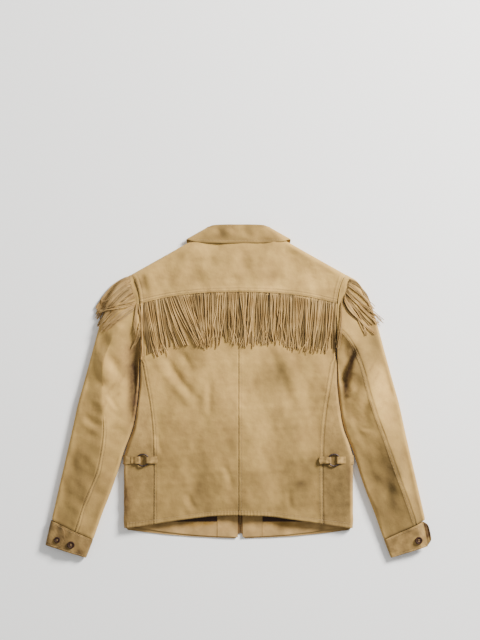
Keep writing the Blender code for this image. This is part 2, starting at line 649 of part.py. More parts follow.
def make_button(side, number, station, distance, diameter):
    """A turned four-hole button lying on the cuff."""
    place, normal = cuff_place(side, station, distance)
    lapped = side < 0 and number == 1
    rise = LAY_GAP + 0.5 + (WALL + LAP_GAP if lapped else 0.0)
    radius = diameter / 2
    profile = [(0, 0.55), (0.64, 0.55), (0.78, 1.0), (0.94, 0.85), (1, 0.45), (0.85, 0), (0, 0)]
    mesh = bpy.data.meshes.new("button")
    build = bmesh.new()
    corners = [build.verts.new((radius * r * MM, 0, BUTTON_THICK * h * MM)) for r, h in profile]
    edges = [build.edges.new(pair) for pair in zip(corners[:-1], corners[1:])]
    bmesh.ops.spin(build, geom=corners + edges, cent=(0, 0, 0), axis=(0, 0, 1),
                   angle=2 * math.pi, steps=18, use_merge=True)
    bmesh.ops.remove_doubles(build, verts=build.verts[:], dist=0.00001)
    bmesh.ops.recalc_face_normals(build, faces=build.faces[:])
    build.to_mesh(mesh)
    build.free()
    item = add_object(f"cuff_button_{side_name(side)}_{number}", mesh, "horn")
    turn = Vector((0, 0, 1)).rotation_difference(Vector(normal)).to_matrix().to_4x4()
    centre = Vector(place + normal * rise) * MM
    item.matrix_world = Matrix.Translation(centre) @ turn
    hole = drill_cutter(item, radius)
    cut = item.modifiers.new("Holes", "BOOLEAN")
    cut.operation = "DIFFERENCE"
    cut.solver = "EXACT"
    cut.object = hole


def drill_cutter(button, radius):
    """Four thread holes on a square, as one cutter."""
    mesh = bpy.data.meshes.new("holes")
    build = bmesh.new()
    for k in range(4):
        angle = math.pi / 4 + k * math.pi / 2
        spot = Vector((0.26 * radius * MM * math.cos(angle), 0.26 * radius * MM * math.sin(angle), 0))
        bmesh.ops.create_cone(build, cap_ends=True, segments=8, radius1=0.0008, radius2=0.0008,
                              depth=0.008, matrix=Matrix.Translation(spot))
    build.to_mesh(mesh)
    build.free()
    item = bpy.data.objects.new(f"holes_for_{button.name}", mesh)
    cutters.objects.link(item)
    item.matrix_world = button.matrix_world
    item.hide_render = True
    item.display_type = "WIRE"
    return item


def make_back_fringe():
    """The reach of the back fringe, lying on the back panels below the yoke seam."""
    half = half_columns()
    column = np.concatenate([-half[:0:-1], half])[None, :]
    rise = np.array([0, 0.33, 0.66, 1])[:, None]
    high = through(YOKE_SEAM, np.abs(column) * YOKE_HALF) - 1.0
    y = high - FRINGE_LENGTH * (1 - rise)
    x = column * (armhole_x(y) - 1.5)
    points = np.stack([x, y, back_height(x, y)], axis=-1)
    return shell("fringe_back", points, "fringe", -1, wall=FRINGE_THICK, lift=1.2 + FRINGE_THICK)


def make_shoulder_fringe(side):
    """The reach of the fringe that falls from the armhole over the head of the sleeve."""
    station = np.array([0.2, 0.5, 1, 1.6, 2.3, 2.9])[:, None]
    ring = np.array([0.02, 0.35, 0.7, 1, 1.25, 1.5])[None, :]
    points = sleeve_surface(station + 0 * ring, ring + 0 * station, side)
    return shell(f"fringe_shoulder_{side_name(side)}", points, "fringe", side,
                 wall=SHOULDER_FRINGE_THICK, lift=0.9 + SHOULDER_FRINGE_THICK)


def box_into(build, low, high):
    """A box between two corners, in millimetres."""
    size = [(b - a) * MM for a, b in zip(low, high)]
    middle = [(a + b) / 2 * MM for a, b in zip(low, high)]
    scale = Matrix.Diagonal((*size, 1))
    bmesh.ops.create_cube(build, size=1, matrix=Matrix.Translation(middle) @ scale)


def box_object(name, low, high, finish):
    mesh = bpy.data.meshes.new(name)
    build = bmesh.new()
    box_into(build, low, high)
    build.to_mesh(mesh)
    build.free()
    return add_object(name, mesh, finish)


def union(base, other):
    """Joins another object into base and keeps it with the cutters."""
    jacket.objects.unlink(other)
    cutters.objects.link(other)
    other.hide_render = True
    other.display_type = "WIRE"
    join = base.modifiers.new("Join", "BOOLEAN")
    join.operation = "UNION"
    join.solver = "EXACT"
    join.object = other


def make_slider():
    """Two plates round the zip, a post between them, and two ears with the hinge pin."""
    tape = COLLAR_LIFT + WALL + 0.6
    outer_low, outer_high = HINGE_Z + 1.9, HINGE_Z + 2.9
    slider = box_object("zip_slider", (-4.2, SLIDER_Y - 6, outer_low),
                        (4.2, SLIDER_Y + 7, outer_high), "brass")
    union(slider, box_object("slider_inner", (-4.2, SLIDER_Y - 6, tape + 1.3),
                             (4.2, SLIDER_Y + 7, tape + 2.3), "brass"))
    union(slider, box_object("slider_post", (-0.8, SLIDER_Y + 3, outer_low + 0.5),
                             (0.8, SLIDER_Y + 6.5, tape + 1.8), "brass"))
    for ear in (-1, 1):
        union(slider, box_object("slider_ear", (min(ear * 2.0, ear * 3.0), SLIDER_Y - 1.2, HINGE_Z - 1.1),
                                 (max(ear * 2.0, ear * 3.0), SLIDER_Y + 1.2, outer_low + 0.4), "brass"))
    bpy.ops.mesh.primitive_cylinder_add(vertices=12, radius=0.6 * MM, depth=5.0 * MM,
                                        location=(0, SLIDER_Y * MM, HINGE_Z * MM),
                                        rotation=(0, math.pi / 2, 0))
    pin = bpy.context.object
    pin.name = "slider_pin"
    for group in list(pin.users_collection):
        group.objects.unlink(pin)
    jacket.objects.link(pin)
    union(slider, pin)


def make_pull():
    """A flat tab with an eye round the slider's pin; its origin is on the hinge."""
    mesh = bpy.data.meshes.new("zip_pull")
    build = bmesh.new()
    outline = [(1.4, 1.5), (1.7, 0.0), (1.7, -6.0), (3.0, -10.0),
               (3.2, -PULL_LENGTH + 3), (2.2, -PULL_LENGTH)]
    half = 0.6
    points = outline + [(-x, y) for x, y in outline[::-1]]
    ring = [build.verts.new((x * MM, y * MM, -half * MM)) for x, y in points]
    face = build.faces.new(ring)
    risen = bmesh.ops.extrude_face_region(build, geom=[face])
    lifted = [v for v in risen["geom"] if isinstance(v, bmesh.types.BMVert)]
    bmesh.ops.translate(build, verts=lifted, vec=(0, 0, 2 * half * MM))
    bmesh.ops.recalc_face_normals(build, faces=build.faces[:])
    build.to_mesh(mesh)
    build.free()
    item = add_object("zip_pull", mesh, "brass")
    item.location = (0, SLIDER_Y * MM, HINGE_Z * MM)
    for name, radius, operation in (("pull_eye", 1.6, "UNION"), ("pull_bore", 0.95, "DIFFERENCE")):
        depth = 3.4 if operation == "UNION" else 8.0
        bpy.ops.mesh.primitive_cylinder_add(vertices=16, radius=radius * MM, depth=depth * MM,
                                            location=(0, SLIDER_Y * MM, HINGE_Z * MM),
                                            rotation=(0, math.pi / 2, 0))
        tool = bpy.context.object
        tool.name = name
        for group in list(tool.users_collection):
            group.objects.unlink(tool)
        cutters.objects.link(tool)
        tool.hide_render = True
        tool.display_type = "WIRE"
        cut = item.modifiers.new(name, "BOOLEAN")
        cut.operation = operation
        cut.solver = "EXACT"
        cut.object = tool


clear_scene()
jacket = make_collection("fringed_jacket")
cutters = make_collection("cutters")
for body_side in (-1, 1):
    make_back(body_side)
    make_side(body_side)
    make_front(body_side)
    make_sleeve(body_side)
    make_cuff(body_side)
    make_insides(body_side)
    make_adjuster(body_side)
    make_shoulder_fringe(body_side)
make_yoke()
make_collar()
make_back_fringe()
for button_row in BUTTONS:
    make_button(*button_row)
make_slider()
make_pull()
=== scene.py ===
import math

import bpy
import numpy as np
from mathutils.bvhtree import BVHTree
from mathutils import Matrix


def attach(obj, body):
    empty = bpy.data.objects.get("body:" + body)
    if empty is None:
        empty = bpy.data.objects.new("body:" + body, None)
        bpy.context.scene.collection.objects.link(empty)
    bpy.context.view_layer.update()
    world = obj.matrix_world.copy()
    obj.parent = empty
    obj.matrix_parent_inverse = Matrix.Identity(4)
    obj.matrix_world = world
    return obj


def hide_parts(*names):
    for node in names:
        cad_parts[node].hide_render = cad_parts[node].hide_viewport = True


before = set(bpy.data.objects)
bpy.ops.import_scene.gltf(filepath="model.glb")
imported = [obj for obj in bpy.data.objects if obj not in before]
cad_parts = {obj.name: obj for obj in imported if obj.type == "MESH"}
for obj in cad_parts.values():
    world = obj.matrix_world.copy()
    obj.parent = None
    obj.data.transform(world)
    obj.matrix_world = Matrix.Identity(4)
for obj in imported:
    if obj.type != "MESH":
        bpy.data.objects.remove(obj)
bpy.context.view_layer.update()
print("frame loaded")

millimetre = 0.001

# The body's form, in millimetres: x from the centre back, y towards the collar, z above the table
body = {
    "wall": 1.5,
    "thinWall": 0.8,
    "seamGap": 0.3,
    "layGap": 0.5,
    "hemHalfWidth": 258.0,
    "rimHeight": 16.0,
    "crownHeight": 13.0,
    "armholeTilt": 11.0,
    "collarLift": 3.6,
    "underarmY": 74.0,
    "sideSeamTurn": 1.78,
    "shoulderTipY": 261.0,
    "shoulderHalf": 243.0,
    "shoulderTopX": 112.0,
    "shoulderTopY": 335.0,
    "shoulderSlope": 0.5625,
    "shoulderFold": 8.0,
    "neckHalf": 80.4,
    "neckBackY": 338.0,
    "neckSideY": 345.0,
    "neckFrontY": 262.0,
    "neckFrontHalf": 78.0,
    "neckFrontRise": 48.0,
    "armholeIn": 25.5,
    "armholeBow": 13.0,
    "armholeShape": 0.6,
    "backSeam": 0.66,
    "closureShift": 4.0,
    "frontYokeDrop": 42.0,
    "zipHalf": 5.0,
    "sideBackX": 191.0,
    "yokeHalf": 222.0,
    "yokeArmholeY": 198.0,
    "sideHemY": -308.0,
    "hemPucker": 7.2,
    "hemStitch": 9.4,
    "seamStitches": (1.6, 7.4),
    "centreStitches": (1.0, 6.4),
    "yokeSeam": [(0, 222), (100, 218), (160, 210), (222, 196)],
    "hemBack": [(0, -280), (60, -282), (120, -289), (180, -298), (258, -308)],
    "hemFront": [(0, -333), (95, -328), (155, -322), (220, -313), (258, -309)],
    "innerLine": [(-376, 340), (-334, 324), (-277, 304), (-223, 283), (-182, 269), (-142, 257),
                  (-110, 246.5), (-79, 236), (-45, 229.5), (9, 223.5), (74, 221.5)],
    "sideBackSeam": [(-309, 191), (-136, 191), (-90, 193), (-21, 201), (31, 210), (74, 217.3)],
    "sideFold": [(-312, 9), (-100, 8.5), (0, 6), (74, 3)],
    "crownShare": [(-330, 0.25), (-250, 0.5), (-150, 0.95), (0, 1.05), (130, 1.0), (360, 0.9)],
}

# Sleeve stations from the armhole to the cuff's edge: outer x, outer y, inner y, right and left
# ridge share, ridge height, inner fold, outer fold, bow
sleeve = {
    "columns": ("outerX", "outerY", "innerY", "ridge", "leftRidge", "height", "innerFold",
                "outerFold", "bow"),
    "rows": [
        (243.6, 261.5, 74.6, 0.66, 0.66, 27, 3, 8, 13.0),
        (270, 244, 66, 0.61, 0.55, 30, 4, 8, 8.0),
        (294, 205, 46, 0.56, 0.40, 32, 6, 8, 3.0),
        (313, 148, 24, 0.50, 0.30, 34, 7, 8, 0.0),
        (331, 82, 0, 0.45, 0.27, 35, 8, 8, 0.0),
        (348, 20, -30, 0.44, 0.36, 35, 8, 8, 0.0),
        (362, -30, -78, 0.41, 0.46, 35, 8, 8, 0.0),
        (374, -85, -128, 0.37, 0.58, 34, 8, 8, 0.0),
        (390, -155, -195, 0.32, 0.63, 32, 8, 8, 0.0),
        (405, -220, -257, 0.27, 0.58, 29, 8, 7, 0.0),
        (421, -290, -334, 0.22, 0.56, 24, 7, 6, 0.0),
        (434, -347, -376, 0.26, 0.50, 20, 7, 6, 0.0),
    ],
    "ridgeRound": 0.12,
    "cuffStation": 10.0,
    "stationLength": 42.0,
    # How much darker each sleeve is painted towards the cuff: painted shade
    "cuffwardShade": {-1: -0.16, 1: -0.23},
    "stitchStart": {-1: 6.5, 1: 0.6},
    "stitchEnd": 9.9,
}

# Collar stations from centre back to centre front: the neck, fold and edge lines
collar = {
    "columns": ("at", "neckX", "neckY", "neckZ", "foldX", "foldY", "foldZ", "edgeX", "edgeY",
                "edgeZ", "side"),
    "rows": [
        (0.00, 0, 339.2, 15.2, 0, 373.0, 15.2, 0, 333.0, 18.3, 0.0),
        (0.18, 30, 340.6, 15.2, 30, 373.0, 15.2, 48, 333.4, 18.3, 0.0),
        (0.33, 58, 344.2, 15.2, 56, 371.6, 15.0, 84, 334.6, 18.0, 0.1),
        (0.43, 71, 348.0, 13.5, 64, 369.0, 13.0, 106, 338.0, 16.6, 0.5),
        (0.50, 76, 350.5, 9.6, 69, 367.0, 9.6, 117, 341.5, 9.6, 1.0),
        (0.57, 76, 338.0, 4.8, 67, 362.0, 5.0, 115.5, 330.0, 1.7, 0.35),
        (0.67, 71, 296.0, 4.4, 58, 330.0, 4.4, 101, 272.0, 1.1, 0.0),
        (0.82, 53, 278.0, 4.4, 42, 311.0, 4.4, 76, 220.0, 1.1, 0.0),
        (1.00, 9, 264.0, 4.4, 9, 296.0, 4.4, 24, 246.0, 1.1, 0.0),
    ],
    "wall": 1.4,
    "foldRadius": 1.3,
    "fallLength": 40.0,
    "stitchEnd": 0.42,
    "stitchAcross": 2.86,
    "tones": [(-38, 350, 12, 14, 0, -0.10), (20, 360, 60, 8, 0, 0.04), (-80, 345, 20, 14, 0, 0.02)],
    "stains": [(-38, 352, 10, 14, 0, 0.30), (-30, 366, 30, 6, 0, 0.12)],
}


# Smooth curve through a table: Hermite pieces with the table's own slopes
def through(rows, at, column=1):
    rows = np.array(sorted(rows), float)
    at = np.asarray(at, float)
    place, value = rows[:, 0], rows[:, column]
    slope = np.gradient(value, place)
    row = np.clip(np.searchsorted(place, at) - 1, 0, len(place) - 2)
    step = place[row + 1] - place[row]
    t = np.clip((at - place[row]) / step, 0, 1)
    start = (2 * t**3 - 3 * t**2 + 1) * value[row] + (t**3 - 2 * t**2 + t) * step * slope[row]
    end = (3 * t**2 - 2 * t**3) * value[row + 1] + (t**3 - t**2) * step * slope[row + 1]
    return start + end


# 0 below low, 1 above high, smooth between
def ramp(low, high, value):
    t = np.clip((value - low) / (high - low), 0, 1)
    return t * t * (3 - 2 * t)


# Bell curve of a distance: 1 at nothing, nearly 0 at twice the width
def bell(distance, width):
    return np.exp(-(distance / width) ** 2)


# Sum of waves of about one size in random directions, spread of about 1
def drift(x, y, seed, size, count=10):
    random = np.random.default_rng(seed)
    total = 0 * (x + y)
    for _ in range(count):
        angle, phase = random.uniform(0, 2 * math.pi, 2)
        wave = size * random.uniform(0.65, 1.6)
        total = total + np.sin(2 * math.pi * (x * math.cos(angle) + y * math.sin(angle)) / wave + phase)
    return total / math.sqrt(count / 2)


# 0 at the underarm and the shoulder tip, 1 at the sleeve's back seam
def tent(y):
    low, high = body["underarmY"], body["shoulderTipY"]
    seam = high - body["backSeam"] * (high - low)
    return np.clip(np.minimum((y - low) / (seam - low), (high - y) / (high - seam)), 0, 1)


# The armhole seam from the shoulder tip in to the underarm
def armholeX(y):
    share = (body["shoulderTipY"] - y) / (body["shoulderTipY"] - body["underarmY"])
    share = np.clip(share, 0, 1)
    bow = body["armholeBow"] * np.sin(math.pi * share ** body["armholeShape"])
    return body["shoulderHalf"] - body["armholeIn"] * share - bow


# The shoulder's straight slope from the neck to the tip
def shoulderY(x):
    return body["shoulderTopY"] - body["shoulderSlope"] * (np.abs(x) - body["shoulderTopX"])


# Where the back turns into the shoulder fold, or ends at the neck
def foldTopY(x):
    x = np.abs(x)
    neck = body["neckBackY"] + (body["neckSideY"] - body["neckBackY"]) * (x / body["neckHalf"]) ** 2
    return np.where(x < body["neckHalf"], neck, shoulderY(x) - body["shoulderFold"])


# The fronts' upper edge: the neckline, then the yoke's front seam
def frontTopY(x):
    x = np.abs(x)
    reach = np.clip(x / body["neckFrontHalf"], 0, 1)
    neck = body["neckFrontY"] + body["neckFrontRise"] * (1 - np.sqrt(1 - reach**2))
    return np.where(x < body["neckFrontHalf"], neck, shoulderY(x) - body["frontYokeDrop"])


# The closure's x: off centre at the hem, at the centre from the chest up
def closureX(y):
    return body["closureShift"] * (1 - ramp(-330, 120, y))


# x of the body's side fold, or of the armhole seam above the underarm
def bodyHalf(y):
    side = np.minimum(body["hemHalfWidth"], through(body["innerLine"], y) - 0.3)
    return np.where(y > body["underarmY"], armholeX(y), side)


# Radius of the body's side fold, nothing above the underarm
def foldRadius(y):
    return np.where(y > body["underarmY"], 0.0, through(body["sideFold"], y))


# Height of the back: a soft crown, down to the rim at the folds
def backHeight(x, y):
    flat = bodyHalf(y) - foldRadius(y)
    share = np.clip(np.abs(x) / flat, 0, 1)
    crown = body["crownHeight"] * through(body["crownShare"], y) * ramp(0, 120, foldTopY(x) - y)
    tilt = body["armholeTilt"] * tent(y) ** 2
    return body["rimHeight"] + tilt * share**2 + crown * (1 - share**2) ** 2


# Height of the fronts' outer face: flat, but lifted over the collar's points and the slider
def frontHeight(x, y):
    return body["collarLift"] * ramp(178, 206, y) * (1 - ramp(122, 142, np.abs(x)))


# around: 0 centre back, 1 top of the side fold, 2 its foot, 3 the closure
def bodySurface(around, y):
    fold = foldRadius(y)
    flat = bodyHalf(y) - fold
    turn = math.pi * np.clip(around - 1, 0, 1)
    under = around > 2
    x = np.where(under, flat * (3 - around), flat * np.minimum(around, 1) + fold * np.sin(turn))
    x = x + closureX(y) * np.clip(around - 2, 0, 1)
    top = backHeight(flat * np.minimum(around, 1), y)
    low = frontHeight(x, y)
    z = np.where(under, low, top + (low - top) * (1 - np.cos(turn)) / 2)
    return np.stack([x, y + 0 * x, z], axis=-1)


# Names of the two sides: -1 is left, 1 is right
def sideName(side):
    return "Left" if side < 0 else "Right"


# The frame's node that a piece stands for: sleeveTopLeft for sleeve_top_left
def nodeOf(name):
    return "".join("_" + c.lower() if c.isupper() or c.isdigit() else c for c in name)


# The same points on the left or the right
def mirrored(points, side):
    return points * np.array([side, 1, 1])


# The sleeve table's named values at a station between rows
def sleeveRow(station, side):
    rows = [(k,) + row for k, row in enumerate(sleeve["rows"])]
    row = {name: through(rows, station, k + 1) for k, name in enumerate(sleeve["columns"])}
    if side < 0:
        row["ridge"] = row["leftRidge"]
    clear = 0.9 + 2.2 * ramp(-100, -138, row["innerY"])
    row["innerX"] = through(body["innerLine"], row["innerY"]) + clear
    row["length"] = np.hypot(row["innerX"] - row["outerX"], row["innerY"] - row["outerY"])
    return row


# ring: 0 the back seam's ridge, 1 and 2 the outer fold, 3 and 4 the inner fold, 5 the ridge
def sleeveSurface(station, ring, side):
    row = sleeveRow(station, side)
    ring = np.mod(ring, 5.0)
    outer = np.stack([row["outerX"], row["outerY"]], axis=-1)
    inner = np.stack([row["innerX"], row["innerY"]], axis=-1)
    length, outerFold, innerFold = row["length"], row["outerFold"], row["innerFold"]
    ridge = row["ridge"] * length
    rim = body["rimHeight"] - 2.0 * ramp(8, 11, station)
    first, second, third, fourth, fifth = [np.clip(ring - k, 0, 1) for k in range(5)]
    along = ridge + (outerFold - ridge) * first
    along = along - outerFold * np.sin(math.pi * second)
    along = along + (length - innerFold - outerFold) * third
    along = along + innerFold * np.sin(math.pi * fourth)
    along = along + (ridge - length + innerFold) * fifth
    power = 1.35 + 0.65 * (1 - ramp(0, 3, station))
    down = np.where(ring > 4, 1 - fifth, first)
    blunt = math.hypot(1, sleeve["ridgeRound"]) - sleeve["ridgeRound"]
    peak = 1 - (np.hypot(down, sleeve["ridgeRound"]) - sleeve["ridgeRound"]) / blunt
    height = rim + (row["height"] - rim) * np.clip(peak, 0, 1) ** power
    turn = np.where(ring < 3, second, 1 - fourth)
    z = np.where((ring > 1) & (ring < 4), rim * (1 + np.cos(math.pi * turn)) / 2, height)
    share = np.clip(along / length, 0, 1)
    bow = row["bow"] * np.sin(math.pi * share**0.6)
    flat = outer + (inner - outer) * (along / length)[..., None]
    return mirrored(np.stack([flat[..., 0] - bow, flat[..., 1], z], axis=-1), side)


# Unit normals of a grid of points: down the rows crossed with along the columns
def gridNormals(points):
    normal = np.cross(np.gradient(points, axis=0), np.gradient(points, axis=1))
    return normal / np.maximum(np.linalg.norm(normal, axis=-1, keepdims=True), 1e-9)


# Positions from 0 to 1 about a step apart, closer together at both ends
def spaced(length, step, low=True, high=True):
    fine = np.array([0, 0.5, 1.1, 1.9, 3.0, 4.4])
    start = fine if low else np.array([0.0])
    end = length - fine[::-1] if high else np.array([length])
    count = max(2, int(round((end[0] - start[-1]) / step)) + 1)
    middle = np.linspace(start[-1], end[0], count)
    return np.concatenate([start[:-1], middle, end[1:]]) / length


# Troughs with a soft ridge beside them. A row: start, end, bow, width, depth, ridge share and side
def creaseRelief(x, y, rows):
    total = 0 * (x + y)
    for x0, y0, x1, y1, bow, width, depth, ridge in rows:
        run = math.hypot(x1 - x0, y1 - y0)
        along = ((x - x0) * (x1 - x0) + (y - y0) * (y1 - y0)) / run**2
        off = ((x - x0) * (y1 - y0) - (y - y0) * (x1 - x0)) / run
        inside = np.clip(along, 0, 1)
        off = off - bow * 4 * inside * (1 - inside)
        fade = ramp(-0.2, 0.25, along) * (1 - ramp(0.7, 1.2, along))
        side = math.copysign(1.9 * width, ridge) if ridge else 0.0
        lift = abs(ridge) * bell(off - side, 1.3 * width)
        total = total + depth * fade * (lift - bell(off, width))
    return total


# Soft patches: centre, half sizes, turn in degrees, amount
def patches(x, y, rows):
    total = 0 * (x + y)
    for x0, y0, wide, tall, turn, amount in rows:
        angle = math.radians(turn)
        across = (x - x0) * math.cos(angle) + (y - y0) * math.sin(angle)
        up = (y - y0) * math.cos(angle) - (x - x0) * math.sin(angle)
        total = total + amount * np.exp(-(across / wide) ** 2 - (up / tall) ** 2)
    return total


# One closed mesh: the outer grid, the same grid a wall further in, and a rim round the edge
def clothShell(name, outer, sign, wall, keep, values, materials):
    normal = gridNormals(outer) * sign
    inner = outer - normal * wall
    rows, columns = outer.shape[:2]
    index = np.arange(rows * columns).reshape(rows, columns)
    cells = np.stack([index[:-1, :-1], index[1:, :-1], index[1:, 1:], index[:-1, 1:]], axis=-1)
    faces = cells.reshape(-1, 4) if keep is None else cells[keep]
    if sign < 0:
        faces = faces[:, ::-1]
    used, faces = np.unique(faces, return_inverse=True)
    faces = faces.reshape(-1, 4)
    start, end = faces.ravel(), np.roll(faces, -1, axis=1).ravel()
    count = len(used)
    edgeBack = np.isin(start * count + end, end * count + start)
    rimStart, rimEnd = start[~edgeBack], end[~edgeBack]
    rim = np.stack([rimEnd, rimStart, rimStart + count, rimEnd + count], axis=-1)
    allFaces = np.concatenate([faces, faces[:, ::-1] + count, rim])
    points = np.concatenate([outer.reshape(-1, 3)[used], inner.reshape(-1, 3)[used]])
    mesh = meshFrom(name, points, allFaces)
    for label, value in values.items():
        flat = np.broadcast_to(value, (rows, columns)).reshape(-1)[used]
        pointValues(mesh, label, np.tile(flat, 2))
    for material in materials:
        mesh.materials.append(material)
    if len(materials) > 1:
        slots = np.zeros(len(allFaces), np.int32)
        slots[len(faces): 2 * len(faces)] = 1
        mesh.polygons.foreach_set("material_index", slots)
    mesh.set_sharp_from_angle(angle=math.radians(55))
    return showPiece(name, mesh)


# A number on every point of a mesh, for its material to read
def pointValues(mesh, label, values):
    attribute = mesh.attributes.new(label, "FLOAT", "POINT")
    attribute.data.foreach_set("value", np.asarray(values, np.float32))


# Quads of a grid of point numbers that closes on itself across
def quads(index):
    after = np.roll(index, -1, axis=1)
    return np.stack([index[:-1], index[1:], after[1:], after[:-1]], axis=-1).reshape(-1, 4)


# A smooth-shaded mesh from points in millimetres and faces of one size
def meshFrom(name, points, faces):
    mesh = bpy.data.meshes.new(name)
    points = np.asarray(points, np.float32) * millimetre
    faces = np.asarray(faces, np.int32)
    size = faces.shape[1]
    mesh.vertices.add(len(points))
    mesh.vertices.foreach_set("co", points.reshape(-1))
    mesh.loops.add(faces.size)
    mesh.loops.foreach_set("vertex_index", faces.reshape(-1))
    mesh.polygons.add(len(faces))
    mesh.polygons.foreach_set("loop_start", np.arange(len(faces), dtype=np.int32) * size)
    mesh.update(calc_edges=True)
    mesh.validate()
    mesh.polygons.foreach_set("use_smooth", np.ones(len(mesh.polygons), bool))
    return mesh


# The mesh as a piece of the jacket, in place of a node if one is named
def showPiece(name, mesh, node=None):
    item = linked(name, mesh)
    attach(item, "jacket")
    if node:
        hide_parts(node)
    return item


# A new object in the scene that holds the data
def linked(name, data):
    item = bpy.data.objects.new(name, data)
    bpy.context.scene.collection.objects.link(item)
    return item


# Area and longest runs of a grid, for the cut of the piece
def gridCut(points, keep=None):
    acrossRun = np.linalg.norm(np.diff(points, axis=1), axis=-1).sum(axis=1).max()
    downRun = np.linalg.norm(np.diff(points, axis=0), axis=-1).sum(axis=0).max()
    one = points[1:, :-1] - points[:-1, :-1]
    two = points[:-1, 1:] - points[:-1, :-1]
    three = points[1:, :-1] - points[1:, 1:]
    four = points[:-1, 1:] - points[1:, 1:]
    halves = [np.linalg.norm(np.cross(a, b), axis=-1) for a, b in ((one, two), (three, four))]
    cell = (halves[0] + halves[1]) / 2
    area = cell.sum() if keep is None else cell[keep].sum()
    return acrossRun * millimetre, downRun * millimetre, area * millimetre**2


# Prints the cut of a cloth piece's smooth form: its width, length and area
def declareSheet(item, points, keep):
    width, length, area = gridCut(points, keep)
    width, length = max(width, 0.0105), max(length, 0.0105)
    area = min(area, width * length)
    print(f"sheet {item.name}: {width * 1000:.0f} x {length * 1000:.0f} mm, {area * 1e4:.0f} cm2")


# Shader graphs, one wrapped socket at a time
class Wire:
    def __init__(self, graph, socket):
        self.graph, self.socket = graph, socket

    def math(self, operation, *others):
        return self.graph.node("ShaderNodeMath", {"operation": operation}, self, *others)

    def __add__(self, other):
        return self.math("ADD", other)

    def __radd__(self, other):
        return self.math("ADD", other)

    def __sub__(self, other):
        return self.math("SUBTRACT", other)

    def __rsub__(self, other):
        return self.graph.node("ShaderNodeMath", {"operation": "SUBTRACT"}, other, self)

    def __mul__(self, other):
        return self.math("MULTIPLY", other)

    def __rmul__(self, other):
        return self.math("MULTIPLY", other)

    def __truediv__(self, other):
        return self.math("DIVIDE", other)

    # 0 below low, 1 above high
    def between(self, low, high):
        return self.graph.node("ShaderNodeMapRange", {"interpolation_type": "SMOOTHSTEP"},
                               self, low, high)


# A material's node tree, built through its wrapped sockets
class Graph:
    def __init__(self, name):
        self.material = bpy.data.materials.new(name)
        self.material.use_nodes = True
        self.tree = self.material.node_tree
        self.shader = self.tree.nodes["Principled BSDF"]

    # Any node: its type, its settings, then its inputs in order or by name
    def node(self, kind, settings=None, *inputs, output=0, **named):
        item = self.tree.nodes.new(kind)
        for key, value in (settings or {}).items():
            setattr(item, key, value)
        for key, value in list(enumerate(inputs)) + list(named.items()):
            self.feed(item.inputs[key], value)
        return Wire(self, item.outputs[output])

    def feed(self, socket, value):
        if isinstance(value, Wire):
            self.tree.links.new(value.socket, socket)
        elif value is not None:
            socket.default_value = value

    def place(self):
        return self.node("ShaderNodeTexCoord", {}, output="Object")

    def value(self, name):
        return self.node("ShaderNodeAttribute", {"attribute_name": name}, output="Fac")

    # Noise of a size in metres
    def noise(self, where, size, detail=3.0, rough=0.5, warp=0.0):
        return self.node("ShaderNodeTexNoise", {}, Vector=where, Scale=1.0 / size, Detail=detail,
                         Roughness=rough, Distortion=warp)

    # Colour one where the mask is 0, two where it is 1
    def mix(self, mask, one, two):
        item = self.tree.nodes.new("ShaderNodeMix")
        item.data_type = "RGBA"
        self.feed(item.inputs[0], mask)
        self.feed(item.inputs[6], one)
        self.feed(item.inputs[7], two)
        return Wire(self, item.outputs[2])

    def bump(self, height, depth, strength=1.0, normal=None):
        return self.node("ShaderNodeBump", {}, Height=height, Distance=depth, Strength=strength,
                         Normal=normal)

    # Brightness multiplied
    def shade(self, colour, amount):
        return self.node("ShaderNodeVectorMath", {"operation": "SCALE"}, colour,
                         **{"Scale": amount})

    def finish(self, colour, roughness, normal=None, **constants):
        named = {"Base Color": colour, "Roughness": roughness, "Normal": normal, **constants}
        for key, value in named.items():
            self.feed(self.shader.inputs[key], value)
        return self.material


# sRGB numbers of 0 to 255 as a linear colour
def paint(red, green, blue):
    channels = [c / 255 for c in (red, green, blue)]
    linear = [c / 12.92 if c <= 0.04045 else ((c + 0.055) / 1.055) ** 2.4 for c in channels]
    return (*linear, 1.0)


# Colours in sRGB, size of the mottle in metres and strength of the grain
suedeLook = {
    "sheen": 0.06,
    "roughness": 0.93,
    "light": (184, 150, 85),
    "dark": (164, 131, 75),
    "stain": (98, 71, 43),
    "mottle": 0.045,
    "grain": 1.0,
}
wornLook = {
    "light": (175, 142, 83),
    "dark": (149, 119, 69),
    "stain": (93, 67, 42),
    "mottle": 0.03,
    "grain": 1.2,
}
facingLook = {
    "light": (172, 139, 87),
    "dark": (148, 117, 71),
    "stain": (140, 104, 44),
    "mottle": 0.03,
    "grain": 0.8,
}


